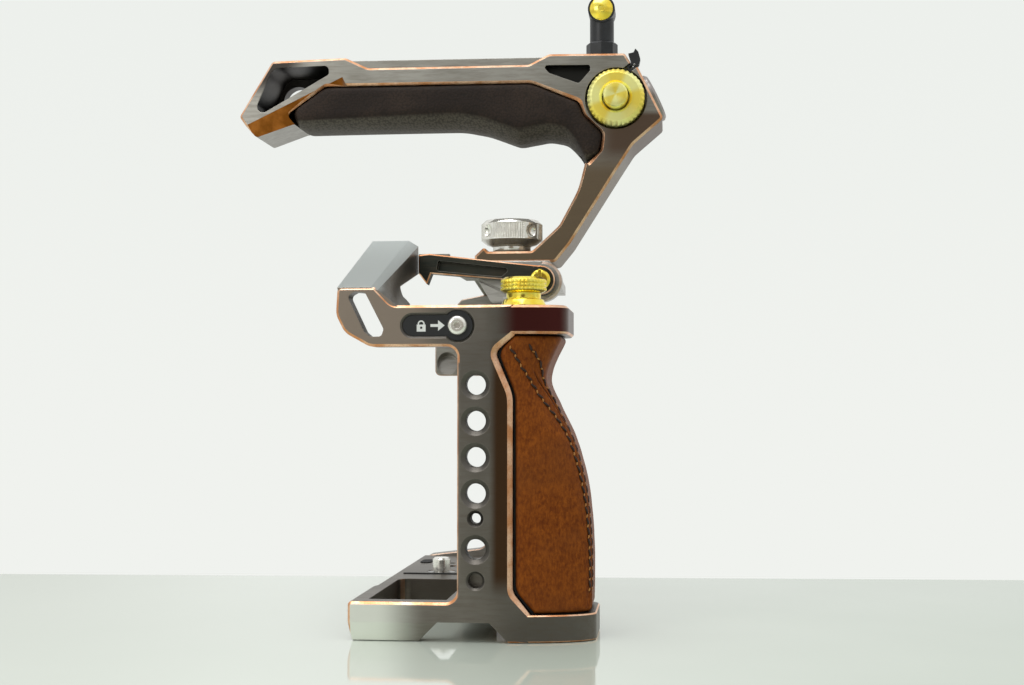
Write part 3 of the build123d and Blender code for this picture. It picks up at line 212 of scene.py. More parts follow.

# %% [markdown]
# ## Worn metal
# The frame is anodised aluminium in a grey-brown, with broad chamfers in a copper colour. It could be painted
# by hand, which needs an image for each piece. Instead noise lets the anodising drift, streak and wear, a
# mask puts copper on the chamfers, and washes tint a few places, some of them with painted shade and painted
# reflections. The masks are functions of a `Surface`.

# %% Worn metal
copper = tone(214, 150, 104), tone(246, 204, 170)
brown_copper = tone(132, 78, 26), tone(178, 110, 48)
copper_speck = tone(150, 84, 44)
streak = tone(96, 86, 74)
rubbed_edge = tone(206, 198, 188)


class Surface:
    """Where a point of a surface is, in millimetres, and how far it faces along x and z."""

    def __init__(self, finish, spot):
        self.x, self.y, self.z = [axis / MM for axis in finish.axes(spot)]
        facing = finish.axes(finish.add("TexCoord", out="Normal"))
        self.nx, self.nz = facing[0], facing[2]

    def within(self, soft=0.4, **spans):
        """1 inside a box of x, y and z spans; an axis that isn't given is open."""
        mask = None
        for axis, (low, high) in spans.items():
            side = getattr(self, axis).inside(low, high, soft)
            mask = side if mask is None else mask * side
        return mask


def worn_metal(name, dark, light, chamfers, washes=(), edge_wear=0.2):
    """Anodised metal: chamfers(at) finds the copper, and each wash(at) its own place."""
    metal = Finish(name, Metallic=1.0)
    spot = metal.place()
    at = Surface(metal, spot)
    band = chamfers(at)

    rounded = metal.add("Bevel", {"samples": 6}, {"Radius": 0.5 * MM})
    flat = metal.add("NewGeometry", out="Normal")
    match = metal.add("VectorMath", {"operation": "DOT_PRODUCT"}, {0: rounded, 1: flat}, out="Value")
    corner = (1 - match).rise(0.02, 0.10)

    patches = metal.grain(6 * MM, detail=4.0, place=spot)
    specks = metal.grain(0.5 * MM, detail=2.0, place=spot)
    brushed = metal.grain(1.1 * MM, detail=3.0, rough=0.65, place=metal.place((1.0, 0.12, 1.0)))
    drift = metal.grain(38 * MM, detail=2.0, place=spot).rise(0.35, 0.65)
    wear = corner * (patches.rise(0.42, 0.6) * 0.6 + 0.4) * edge_wear

    skin = metal.blend(drift, dark, light)
    skin = metal.blend(brushed.rise(0.35, 0.75) * 0.35, skin, streak)
    skin = metal.blend(wear, skin, rubbed_edge)
    for wash, colour in washes:
        skin = metal.blend(wash(at), skin, colour)

    shine = metal.blend(patches.rise(0.35, 0.65), *copper)
    deep = metal.blend(patches.rise(0.4, 0.7), *brown_copper)
    shine = metal.blend(abs(at.nx).rise(0.88, 0.94), shine, deep)
    shine = metal.blend(specks.rise(0.45, 0.8) * 0.35, shine, copper_speck)

    metal.wire(Base_Color=metal.blend(band, skin, shine))
    metal.wire(Roughness=0.3 + specks * 0.1 + brushed * 0.08 - band * 0.05)
    soft = metal.add("Bevel", {"samples": 4}, {"Radius": 0.3 * MM})
    height = metal.grain(0.35 * MM, detail=2.0, place=spot) * 0.6 + brushed * 0.4
    metal.wire(Normal=metal.bump(height, 0.006 * MM, soft))
    return metal.material


print("worn metal takes a mask and washes")

# %% [markdown]
# ## Copper edges
# A chamfer is the only face whose normal leans 45 degrees between two axes, so the mask looks at
# the normal and needs no map of the edges. Where the metal reaches over the leather, its chamfers
# lean up and down instead. The countersinks lean like the chamfers but stay grey, so they are
# taken out by their place.

# %% Copper edges
overhang_y = -27.0
head_bottom = 91.2
foot_top = 8.4
label_low, label_high = box_of("lock_label")


def leaning(facing, degrees, spread, soft):
    """1 where a face leans by about an angle from an axis, given how far it faces along it."""
    share = math.cos(math.radians(degrees))
    return facing.inside(share - spread, share + spread, soft)


def off_sides(at):
    """1 on every face but the flat sides."""
    return 1 - abs(at.nx).rise(0.9, 0.97)


def plain_chamfers(at):
    return leaning(abs(at.nx), 45, 0.155, 0.02)


def dull_chamfers(at):
    """Chamfers that kept most of their anodising."""
    return plain_chamfers(at) * 0.35


def side_holes(at):
    """Countersinks of the holes and the lip round the lock label."""
    holes = at.within(y=(-27.6, -17.2), z=(12.0, 82.5))
    lip = at.within(
        x=(label_low.x - 1.1, label_high.x + 4.4),
        y=(label_low.y - 1.1, label_high.y + 1.0),
        z=(label_low.z - 0.9, label_high.z + 0.7),
    )
    return off_sides(at) * holes.most(lip)


def port_holes(at):
    return off_sides(at) * at.within(y=(-21.7, -11.3), z=(20.0, 74.0))


def side_chamfers(at):
    """The wall's outline, the grip head and the foot."""
    wall = leaning(0 - at.nx, 45, 0.155, 0.02)
    slanted = abs(at.nz).inside(0.25, 0.93, 0.03)
    high_or_low = at.z.past(head_bottom, 0.2).most(at.z.before(foot_top, 0.2))
    over_leather = high_or_low * at.y.before(overhang_y, 0.5)
    return (wall * (1 - over_leather) + slanted * over_leather) * (1 - side_holes(at))


def handle_chamfers(at):
    """The outline, the edge round the wrap and the tail's bevels, which lean 15 degrees."""
    tail = leaning(abs(at.nx), 15, 0.014, 0.006) * at.y.past(32, 2)
    return plain_chamfers(at).most(tail)


print("copper over the leather from y =", overhang_y, "mm")

# %% [markdown]
# ## Washes
# Some places are lighter or darker: some faces are painted paler, the hood's roof carries a painted
# reflection of the bright wall, the handle's hollows and the strip beside the leather carry painted shade,
# and the head over the leather carries a painted reflection of the brown leather. With one colour all over,
# the frame would look like plastic.

# %% Washes
handle_low, handle_high = box_of("handle_frame")


def low_foot(at):
    """The near foot behind the row of holes, painted almost white."""
    return at.nx.before(-0.65, 0.15) * at.y.past(0, 8) * at.z.before(13.5, 2.5)


def rear_arm(at):
    """The side's arm behind the lock screw."""
    return at.nx.before(-0.875, 0.075) * at.y.past(-9, 7) * at.z.past(86, 2)


def hood_roof_reflection(at):
    """The hood's slanted roof up to the bend before its free end, painted pale as a reflection of the bright
    wall.
    """
    slope = at.nz.past(0.575, 0.125) * at.nx.before(-0.225, 0.075)
    return slope * at.z.past(104, 1) * at.y.past(4, 6)


def head_leather_reflection(at):
    # Painted reflection: the brown leather mirrored as dark maroon on the head's upright faces over it.
    upright = 1 - abs(at.nz).rise(0.8, 0.95)
    return upright * at.z.past(91, 0.5) * at.y.before(-31.5, 3.5) * at.y.past(-49.5, 2.5)


def front_rim_shade(at):
    """The strip of the side beside the leather, painted dark as shade where the face starts to turn round the
    grip.
    """
    return at.nx.before(-0.75, 0.15) * at.y.before(-27.6, 1.4) * at.z.past(16, 4) * at.z.before(88, 2)


def handle_hollow_shade(at):
    """Walls and floors of the tail's window and of the pocket in the head, painted dark as shade."""
    near, far = handle_low.x + 0.4, handle_high.x - 0.1
    window = at.within(0.1, x=(near, far), y=(37.5, 66.5), z=(169.0, 188.4))
    pocket = at.within(0.1, x=(near, -10.0), y=(-54.0, -36.0), z=(179.0, 186.6))
    near_face = at.nx.before(-0.9, 0.01) * at.x.before(near + 0.05, 0.15)
    return window.most(pocket) * (1 - near_face)


def handle_neck(at):
    return at.z.before(153, 5)


def under_gold_knob(at):
    """The facet of the head under the gold knob."""
    return at.y.before(-56, 6) * at.z.past(154, 4) * at.z.before(169.25, 1.25)


def handle_end(at):
    """The far end of the tail, over the window."""
    return at.y.past(49, 5) * at.z.past(180, 4)


side_washes = [
    (side_holes, tone(104, 100, 94)),
    (low_foot, tone(236, 238, 230)),
    (rear_arm, tone(146, 134, 122)),
    (hood_roof_reflection, tone(220, 227, 224)),
    (head_leather_reflection, tone(74, 36, 34)),
    (front_rim_shade, tone(74, 54, 38)),
]
handle_washes = [
    (handle_hollow_shade, tone(46, 46, 44)),
    (handle_neck, tone(116, 102, 84)),
    (under_gold_knob, tone(98, 82, 70)),
    (handle_end, tone(70, 66, 63)),
]
port_washes = [(port_holes, tone(150, 148, 142))]
print("washes:", len(side_washes), "on the side,", len(handle_washes), "on the handle")

# %% [markdown]
# ## Metals of the frame
# Each machined piece went through its own bath, so each has its own pair of tones.

# %% Metals of the frame
port_metal = worn_metal("port_metal", tone(134, 132, 126), tone(162, 159, 152), dull_chamfers, port_washes)
frame_finishes = {
    "base_plate": worn_metal("base_metal", tone(100, 94, 86), tone(128, 121, 112), dull_chamfers),
    "top_plate": worn_metal(
        "top_metal", tone(176, 172, 164), tone(206, 205, 200), dull_chamfers, (), 0.3
    ),
    "swing_arm": worn_metal("arm_metal", tone(44, 50, 48), tone(66, 68, 62), plain_chamfers),
    "arm_leaf": port_metal,
    "side_frame": worn_metal("side_metal", tone(98, 94, 88), tone(126, 121, 114), side_chamfers, side_washes),
    "port_side_plate": port_metal,
    "handle_frame": worn_metal(
        "handle_metal", tone(144, 142, 134), tone(170, 168, 161), handle_chamfers, handle_washes, 0.1
    ),
}
for name, finish in frame_finishes.items():
    nodes[name].data.materials[0] = finish
print("worn metal on", list(frame_finishes))

# %% [markdown]
# ## Plain metals and black pieces
# Gold-coloured anodising, bright steel, plain fastener steel, black satin paint and rubber each
# have a fine grain in roughness and bump, because a metal with no texture looks like plastic.

# %% Gold, steel, black and rubber
def plain_metal(name, colour, worn, rough, grain_depth=0.002 * MM, **constants):
    """Metal with a fine grain and a slow drift between two colours."""
    metal = Finish(name, **constants)
    grain = metal.grain(0.3 * MM, detail=3.0)
    drift = metal.grain(4 * MM, detail=2.0)
    metal.wire(Base_Color=metal.blend(drift.rise(0.35, 0.7), colour, worn))
    metal.wire(Roughness=rough + grain * 0.1 - 0.05)
    soft = metal.add("Bevel", {"samples": 4}, {"Radius": 0.25 * MM})
    metal.wire(Normal=metal.bump(grain, grain_depth, soft))
    return metal.material


gold = plain_metal("gold", tone(255, 240, 112), tone(255, 222, 76), 0.14, 0.0006 * MM, Metallic=1.0)
steel = plain_metal("steel", tone(250, 248, 240), tone(236, 234, 226), 0.14, 0.001 * MM, Metallic=0.75)
plain_steel = plain_metal("plain_steel", tone(168, 168, 166), tone(140, 139, 136), 0.32, Metallic=1.0)
black = plain_metal("black", tone(22, 23, 26), tone(34, 36, 40), 0.38)
rubber = plain_metal("rubber", tone(20, 20, 20), tone(30, 30, 29), 0.8, 0.02 * MM)
print("plain finishes:", [finish.name for finish in (gold, steel, plain_steel, black, rubber)])

# %% [markdown]
# ## Faced gold
# The flat faces of the gold knob and of its button were cut by a tool that runs inwards while the
# piece turns. It leaves rings too fine to see one by one, and they throw the light into wedges.
# Real rings would take millions of faces, so the wedges are a colour over the angle.

# %% Faced gold
def faced_gold(ring_width=0.22 * MM):
    """Gold with fine rings and wedges of light round the side knob's axis."""
    metal = Finish("gold_faced", Metallic=0.6)
    x, y, z = metal.axes(metal.place())
    low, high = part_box("side_knob")
    centre = (low + high) / 2
    across, up = y - centre.y, z - centre.z
    angle = up.angle_from(across)
    wedges = (angle * 3.0 + 0.6).sine() * 0.5 + (angle * 5.0 + 2.0).sine() * 0.25 + 0.5
    rings = (across.reach(up) * (math.tau / ring_width)).sine() * 0.5 + 0.5
    metal.wire(Base_Color=metal.blend(wedges.rise(0.1, 0.9), tone(252, 228, 96), tone(255, 252, 166)))
    metal.wire(Roughness=0.22 + rings * 0.08)
    metal.wire(Normal=metal.bump(rings, 0.002 * MM))
    return metal.material


gold_faced = faced_gold()
print("faced gold ready")

# %% [markdown]
# ## Lock label
# A black insert beside the lock screw carries a printed padlock and an arrow that points at the
# screw. Print has no height of its own, so the finish draws it from strips, rings and a triangle.

# %% Lock label
def label_black(line=0.05 * MM):
    """Black satin with a white padlock and an arrow; line is how soft the print's edge is."""
    paint = Finish("label_black")
    x, y, z = paint.axes(paint.place())
    low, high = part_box("lock_label")

    def strip(value, half):
        return abs(value).before(half, line)

    along = high.y - y
    rise = z - (low.z + high.z) / 2
    beside = along - 5.6 * MM
    case = strip(beside, 1.35 * MM) * strip(rise + 0.75 * MM, 1.05 * MM)
    keyhole = beside.reach(rise + 0.65 * MM).past(0.36 * MM, 0.06 * MM)
    shackle = strip(beside.reach(rise - 0.5 * MM) - 0.85 * MM, 0.2 * MM) * rise.past(0.25 * MM, line)
    stem = strip(along - 9.6 * MM, 1.2 * MM) * strip(rise, 0.42 * MM)
    tip = 12.7 * MM - along
    head = (tip * 0.8 - abs(rise)).past(0, line) * tip.before(2.0 * MM, line)
    ink = (case * keyhole).most(shackle).most(stem).most(head)

    dust = paint.grain(0.3 * MM, detail=3.0)
    ground = paint.blend(dust, tone(16, 17, 19), tone(28, 29, 32))
    paint.wire(Base_Color=paint.blend(ink, ground, tone(226, 228, 226)))
    paint.wire(Roughness=0.38 + dust * 0.12)
    paint.wire(Normal=paint.bump(dust, 0.002 * MM))
    return paint.material


slot_finishes = {
    "gold_finish": gold,
    "bright_steel": steel,
    "fastener_steel": plain_steel,
    "black_finish": black,
    "pad_rubber": rubber,
    "grip_core": rubber,
}
for node in nodes.values():
    slot_name = node.data.materials[0].name.split(".")[0]
    if slot_name in slot_finishes:
        node.data.materials[0] = slot_finishes[slot_name]
nodes["lock_label"].data.materials[0] = label_black()
nodes["lock_screw"].data.materials[0] = steel
print("finishes:", sorted({node.data.materials[0].name for node in nodes.values()}))

# %% [markdown]
# ## Brown leather
# Waxed leather is never one colour. It is mottled on three scales: slow patches where it was rubbed, cloudy
# spots of a few millimetres, and fine fibres. The `crease` attribute of the cover's mesh darkens it at its
# edges, in the seam and round the stitches: partly dirt and burnish, partly painted shade in the groove and
# the stitch dents.

# %% Leather finish
def leather_finish():
    skin = Finish("brown_leather", Specular_IOR_Level=0.14)
    spot = skin.place()
    patches = skin.grain(22 * MM, detail=3.0, place=spot)
    clouds = skin.grain(2.6 * MM, detail=5.0, rough=0.65, place=spot)
    fibres = skin.grain(0.7 * MM, detail=4.0, rough=0.7, place=skin.place((1.0, 1.0, 0.45)))
    pores = skin.cells(MM / 1.9, {"feature": "SMOOTH_F1"}, spot, Smoothness=0.4)
    crease = skin.add("Attribute", {"attribute_name": "crease"}, out="Fac")
    mottle = (clouds * 0.35 + fibres * 0.55 + patches * 0.25).rise(0.38, 0.78)
    colour = skin.blend(mottle, tone(92, 38, 2), tone(150, 80, 18))
    colour = skin.blend(patches.rise(0.45, 0.7) * 0.35, colour, tone(84, 44, 22))
    # Crease darkening: partly dirt and burnish, partly painted shade in the seam groove, stitch dents and
    # rolled edges.
    colour = skin.blend(crease.rise(0.15, 0.95) * 0.85, colour, tone(38, 16, 5))
    skin.wire(Base_Color=colour)
    skin.wire(Roughness=0.42 + clouds * 0.22 - mottle * 0.06)
    skin.wire(Normal=skin.bump(fibres * 0.45 + clouds * 0.35 + pores * 0.35, 0.09 * MM))
    return skin.material


brown_leather = leather_finish()
print("leather ready:", brown_leather.name)

# %% [markdown]
# ## Thread and handle wrap
# The waxed thread is painted dark, as shade, where it lies in its dent, and lighter, as a lit highlight,
# where it comes up, which its mesh marks as `tint`. The handle's wrap has a pebbled grain, and a cell pattern
# gives rounder pebbles than noise. Its downward faces are painted paler.

# %% Thread and wrap finishes
def thread_finish():
    waxed = Finish("thread", Specular_IOR_Level=0.4)
    tint = waxed.add("Attribute", {"attribute_name": "tint"}, out="Fac")
    twist = waxed.grain(0.5 * MM, detail=2.0)
    # dark is the thread painted in shade, light is the same thread painted lit.
    dark = waxed.blend(twist, tone(30, 15, 7), tone(60, 32, 14))
    light = waxed.blend(twist, tone(140, 86, 36), tone(196, 140, 70))
    waxed.wire(Base_Color=waxed.blend(tint, dark, light))
    waxed.wire(Roughness=0.45 + twist * 0.2)
    return waxed.material


def wrap_finish():
    skin = Finish("soft_wrap", Specular_IOR_Level=0.25)
    spot = skin.place()
    pebbles = skin.cells(MM / 1.25, {"feature": "F1"}, spot, Randomness=0.9)
    patches = skin.grain(14 * MM, detail=3.0, place=spot)
    fine = skin.grain(0.45 * MM, detail=3.0, place=spot)
    downwards = skin.axes(skin.add("TexCoord", out="Normal"))[2].rise(-0.35, -0.8)
    colour = skin.blend(patches.rise(0.35, 0.7), tone(34, 23, 17), tone(50, 37, 29))
    # Faces turned downwards are painted paler.
    colour = skin.blend(downwards * 0.7, colour, tone(96, 90, 80))
    colour = skin.blend(pebbles.rise(0.35, 0.75) * 0.5, colour, tone(20, 14, 10))
    skin.wire(Base_Color=colour)
    skin.wire(Roughness=0.5 + fine * 0.16)
    skin.wire(Normal=skin.bump(1 - pebbles.rise(0.1, 0.85) + fine * 0.3, 0.07 * MM))
    return skin.material


thread = thread_finish()
soft_wrap = wrap_finish()
print("thread and wrap ready:", thread.name, soft_wrap.name)

# %% [markdown]
# ## Helpers for new pieces
# Each new piece starts as a bmesh. `settle` welds it, turns its faces outwards, gives it its
# finish and lets it ride on the body that carries it. `turned` spins a profile, as a lathe would.

# %% Piece helpers
def mesh_from(name, bm):
    """A mesh made from a bmesh, which is used up."""
    mesh = bpy.data.meshes.new(name)
    bm.to_mesh(mesh)
    bm.free()
    return mesh


def bmesh_from(mesh):
    """A bmesh that starts as a copy of a mesh."""
    bm = bmesh.new()
    bm.from_mesh(mesh)
    return bm


def settle(bm, name, body, finish, replaced=(), sharp=35, weld=0.002 * MM):
    """Turn a bmesh into a finished piece on a body."""
    bmesh.ops.remove_doubles(bm, verts=bm.verts, dist=weld)
    bmesh.ops.recalc_face_normals(bm, faces=bm.faces)
    mesh = mesh_from(name, bm)
    mesh.materials.append(finish)
    mesh.polygons.foreach_set("use_smooth", [True] * len(mesh.polygons))
    mesh.set_sharp_from_angle(angle=math.radians(sharp))
    piece = add_object(name, mesh)
    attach(piece, body)
    if replaced:
        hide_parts(*replaced)
    print(name, len(mesh.polygons), "faces on", body)
    return piece


def turned(profile, steps, shape=None, turn=Matrix(), origin=(0, 0, 0)):
    """Spin (radius, height) points round z, let shape move each point, then turn and place them."""
    bm = bmesh.new()
    verts = [bm.verts.new((radius * MM, 0, height * MM)) for radius, height in profile]
    edges = [bm.edges.new(pair) for pair in zip(verts, verts[1:])]
    bmesh.ops.spin(
        bm, geom=verts + edges, axis=(0, 0, 1), cent=(0, 0, 0), angle=math.tau, steps=steps, use_merge=True
    )
    bmesh.ops.remove_doubles(bm, verts=bm.verts, dist=0.001 * MM)
    for vert in bm.verts if shape else []:
        vert.co = shape(vert.co)
    bmesh.ops.transform(bm, matrix=turn, verts=bm.verts)
    bmesh.ops.translate(bm, vec=Vector(origin) * MM, verts=bm.verts)
    return bm


def pulled_in(point, cut):
    """A point moved towards the z axis by some millimetres."""
    share = 1 - cut * MM / point.xy.length
    return Vector((point.x * share, point.y * share, point.z))


def clipped(value):
    """The nearest number from 0 to 1."""
    return min(max(value, 0.0), 1.0)


TO_SIDE = Matrix.Rotation(math.radians(-90), 4, "Y")  # turns up into the grip side, -x
print("piece helpers ready")

# %% [markdown]
# ## Leather cover
# The grip wears one piece of brown leather, wrapped round its front and sewn up beside its near
# corner. It could be sculpted, but a formula keeps it on the grip: every point of a flat grid is
# carried to a height and to a distance along the grip's outline there. The outline is a quarter
# of an oval from rim to nose, a flat front and a quarter of an oval on the far side.

# %% Grip outline
def glide(points, at):
    """Value at one place on a smooth curve through (place, value) points."""
    last = len(points) - 2
    first = max((n for n in range(last + 1) if points[n][0] <= at), default=0)

    def slope(n):
        before, after = points[max(n - 1, 0)], points[min(n + 1, last + 1)]
        return (after[1] - before[1]) / (after[0] - before[0])

    (start, low), (end, high) = points[first : first + 2]
    span = end - start
    t = (at - start) / span
    ease = t * t * (3 - 2 * t)
    return low + (high - low) * ease + span * t * (1 - t) * ((1 - t) * slope(first) - t * slope(first + 1))


def straight(points, at):
    """Value at one place on straight lines through (place, value) points."""
    for (start, low), (end, high) in zip(points, points[1:]):
        if at <= end:
            break
    return low + (high - low) * (at - start) / (end - start)


cover_low, cover_high = box_of("grip_leather")
grip_fronts = [  # height and y of the nose
    (8.6, -56.2), (28.0, -56.2), (45.0, -54.6), (59.0, -50.9), (70.0, -45.8), (78.5, -42.8), (90.6, -47.7)
]
rim_fronts = [  # height and y of the rim
    (8.0, -40.2), (9.2, -39.2), (14.8, -34.3), (73.0, -34.3), (85.6, -29.2), (91.0, -34.4)
]
side_round = 10.2
flat_end_y = -25.7


def rim_front(z, reach=2.0, samples=5):
    """Where the leather begins behind the rim, averaged over its height to round the corners."""
    heights_near = [z + reach * (n / samples - 1) for n in range(2 * samples + 1)]
    return sum(straight(rim_fronts, height) for height in heights_near) / len(heights_near)


class Row:
    """The leather's outline at one height, measured along its length in millimetres."""

    steps = 90
    widest_start = 0.98

    def __init__(self, z):
        self.depth = flat_end_y - glide(grip_fronts, z)
        self.first = math.asin(min((flat_end_y - rim_front(z)) / self.depth, self.widest_start))
        near, far = cover_low.x + side_round, cover_high.x - side_round
        quarter = math.pi / 2
        shares = [n / self.steps for n in range(self.steps + 1)]
        corner = [(near, -1, self.first + (quarter - self.first) * share) for share in shares]
        corner += [(far, 1, quarter * (1 - share)) for share in shares]
        self.points = [
            Vector((x + side * side_round * math.cos(angle), flat_end_y - self.depth * math.sin(angle), z))
            for x, side, angle in corner
        ]
        self.places = [0.0]
        for before, after in zip(self.points, self.points[1:]):
            self.places.append(self.places[-1] + (after - before).length)
        self.length = self.places[-1]
        self.nose = self.places[self.steps]

    def at_angle(self, degrees):
        """Distance along the row where the near side has turned by an angle."""
        n = clipped((math.radians(degrees) - self.first) / (math.pi / 2 - self.first)) * self.steps
        low = min(int(n), self.steps - 1)
        return self.places[low] + (self.places[low + 1] - self.places[low]) * (n - low)

    def spot(self, place):
        """Point and outward direction at a distance along the row."""
        n = min(max(bisect.bisect(self.places, place) - 1, 0), len(self.places) - 2)
        before, after = self.points[n], self.points[n + 1]
        share = (place - self.places[n]) / (self.places[n + 1] - self.places[n])
        along = (after - before).normalized()
        return before.lerp(after, share), Vector((along.y, -along.x, 0))


print("grip row at mid height:", round(Row(45).length, 1), "mm")

# %% [markdown]
# ## Seam and stitch rows
# The seam runs up beside the corner and bends towards the rim at the top, between two rows of
# stitches. Each is given by how many degrees round the corner it lies at each height.

# %% Seam and stitch rows
inner_row = [  # height and degrees round the corner
    (8, 75.0), (14, 78.0), (30, 78.5), (50, 75.5), (60.3, 73.2),
    (66, 67.6), (71.4, 57.2), (77.3, 47.8), (82.1, 32.7), (86.8, 20.6),
]
seam_row = [(8, 84.0), (40, 85.5), (58, 84.5), (64, 82.0), (70, 76.5), (74.7, 67.8), (79, 56.0), (86.6, 31.0)]
outer_row = [(8, 89.0), (60, 89.0), (70, 86.5), (74.5, 79.5), (78.9, 70.0), (82, 60.5), (86.6, 41.0)]
leather_rows = 200
stitch_pitch = 3.15


def seam_places(row, z):
    """Distances along a row of the inner stitches, the seam and the outer stitches."""
    inner = max(row.at_angle(glide(inner_row, z)), 1.6)
    seam = max(row.at_angle(glide(seam_row, z)), inner + 1.2)
    outer = max(row.at_angle(min(glide(outer_row, z), 89.5)), seam + 1.0)
    return inner, seam, outer


def stitch_turns(points, pitch):
    """Count of stitches up to each height of a row of stitches."""
    turns = [0.0]
    for before, after in zip(points, points[1:]):
        turns.append(turns[-1] + (after - before).length / pitch)
    return turns


heights = [cover_low.z + (cover_high.z - cover_low.z) * n / leather_rows for n in range(leather_rows + 1)]
rows = [Row(z) for z in heights]
marks = [seam_places(row, z) for row, z in zip(rows, heights)]
inner_line = [row.spot(mark[0])[0] for row, mark in zip(rows, marks)]
outer_line = [row.spot(mark[2])[0] for row, mark in zip(rows, marks)]
turns = list(zip(stitch_turns(inner_line, stitch_pitch), stitch_turns(outer_line, stitch_pitch)))
print("stitches along the seam:", [round(turn) for turn in turns[-1]])

# %% [markdown]
# ## Leather relief
# Beside the seam the leather swells into two lips, it sinks where the thread pulls, its edges
# roll inwards and it wrinkles everywhere. Each is a soft bump over the distance from its line.
# The same sum says how dark the crease is, so colour and shape agree.

# %% Leather relief
stitch_top = 87.0
stitch_bottom = 14.2
seam_open_to = 82.0
edge_roll = 1.5
groove_depth, lip_height, pull_depth, roll_depth = 0.5, 0.26, 0.22, 0.85


def ridge(distance, width):
    return math.exp(-((distance / width) ** 2))


def leather_relief(row, place, z, marks, turns):
    """Height above the plain outline, in millimetres, and how dark the crease is."""
    inner, seam, outer = marks
    sewn = clipped((stitch_top + 1.0 - z) / 2.0) * clipped((z - stitch_bottom + 3.0) / 3.0)
    open_seam = clipped((seam_open_to - z) / 6.0)
    groove = ridge(place - seam, 0.26) * open_seam
    lips = (ridge(place - seam + 0.75, 0.45) + 0.7 * ridge(place - seam - 0.7, 0.4)) * open_seam
    pulls = 0.0
    for mark, turn in ((inner, turns[0]), (outer, turns[1])):
        pull = 0.5 + 0.5 * math.cos(math.tau * turn)
        pulls += ridge(place - mark, 0.55) * (0.55 + 0.45 * pull) * sewn
    edge = min(place, row.length - place, z - cover_low.z, cover_high.z - z)
    roll = max(1.0 - edge / edge_roll, 0.0) ** 2
    slow, quick = Vector((place, z, 0.0)) / 7.0, Vector((place / 2.2, z / 3.4, 4.0))
    wrinkle = noise.noise(slow) * 0.10 + noise.noise(quick) * 0.045
    height = lips * lip_height - groove * groove_depth - pulls * pull_depth - roll * roll_depth
    # The crease value marks dirt and burnish at the edges and painted shade in the groove and the stitch
    # dents.
    return height + wrinkle * (1 - roll), min(groove + pulls * 0.75 + roll * 0.8, 1.0)


print("seam is", groove_depth, "mm deep")

# %% [markdown]
# The grid's columns follow the seam and the stitches and crowd together beside them, so the groove
# stays crisp without a fine mesh everywhere. A modifier gives the leather its thickness, inwards.

# %% Leather cover
columns_between = (46, 12, 9, 38, 46)
crowding = 0.11
leather_thickness = 1.3 * MM


def column_places(row, mark):
    """Distances along a row for every column, closer together beside the seam and stitches."""
    stops = [0.0, *mark, row.nose + 20.0, row.length]
    places = [0.0]
    for (start, end), count in zip(zip(stops, stops[1:]), columns_between):
        for n in range(1, count + 1):
            t = n / count
            places.append(start + (end - start) * (t - crowding * math.sin(math.tau * t)))
    return places


bm = bmesh.new()
columns = sum(columns_between)
bmesh.ops.create_grid(bm, x_segments=columns, y_segments=leather_rows, size=1.0)
crease_layer = bm.verts.layers.float.new("crease")
column_tables = [column_places(row, mark) for row, mark in zip(rows, marks)]
for vert in bm.verts:
    column = round((vert.co.x + 1) / 2 * columns)
    line = round((vert.co.y + 1) / 2 * leather_rows)
    place = column_tables[line][column]
    point, outward = rows[line].spot(place)
    height, crease = leather_relief(rows[line], place, heights[line], marks[line], turns[line])
    vert.co = (point + outward * height) * MM
    vert[crease_layer] = crease

leather = settle(bm, "leather_cover", "cage", brown_leather, ["grip_leather"], sharp=80)
wall = leather.modifiers.new("thickness", "SOLIDIFY")
wall.thickness = leather_thickness
wall.offset = -1.0
print("leather cut:", round(rows[0].length), "x", round(cover_high.z - cover_low.z), "mm")

# %% [markdown]
# ## Stitches
# Thick thread runs in and out of the leather beside the seam. Each stitch is a short slanted
# capsule that lies in its dent, and between two stitches the thread shows once more where it
# comes up. They are placed by walking along each row of stitches.

# %% Stitches
# tint 0 paints a long stitch as thread in shade, tint 1 paints a short one as lit thread.
long_stitch = {"length": 2.5, "radius": 0.4, "sink": 0.06, "lean": 1.0, "tint": 0.0}
short_stitch = {"length": 1.25, "radius": 0.27, "sink": 0.0, "lean": -1.6, "tint": 1.0}
stitch_lean = 18


def sew_one(bm, tint_layer, point, outward, along, stitch, lean):
    """A capsule of thread at a point, leaning off the row's direction."""
    outward = (outward - along * outward.dot(along)).normalized()
    way = Matrix.Rotation(math.radians(lean * stitch["lean"]), 3, outward) @ along
    capsule_axes = Matrix((outward.cross(way), outward, way)).transposed().to_4x4()
    radius = stitch["radius"] * MM
    size = Matrix.Diagonal((radius, radius, stitch["length"] / 2 * MM, 1.0))
    place = Matrix.Translation((point + outward * stitch["sink"]) * MM) @ capsule_axes @ size
    made = bmesh.ops.create_uvsphere(bm, u_segments=8, v_segments=6, radius=1.0, matrix=place)
    for vert in made["verts"]:
        vert[tint_layer] = stitch["tint"]


def sew(bm, tint_layer, line, mark_number, lean):
    """One row of stitches from the bottom to the top."""
    count = 0
    for number in range(1, leather_rows):
        if not stitch_bottom < heights[number] < stitch_top:
            continue
        before, after = turns[number - 1][mark_number // 2], turns[number][mark_number // 2]
        for start, stitch in ((0.5, long_stitch), (0.0, short_stitch)):
            if math.floor(before - start) == math.floor(after - start):
                continue
            along = (line[number + 1] - line[number - 1]).normalized()
            point, outward = rows[number].spot(marks[number][mark_number])
            sew_one(bm, tint_layer, point, outward, along, stitch, lean)
            count += 1
    return count


bm = bmesh.new()
tint_layer = bm.verts.layers.float.new("tint")
inner_count = sew(bm, tint_layer, inner_line, 0, stitch_lean)
outer_count = sew(bm, tint_layer, outer_line, 2, -stitch_lean)
settle(bm, "grip_stitches", "cage", thread, sharp=80, weld=0.0001 * MM)
print("stitches:", inner_count, "and", outer_count)

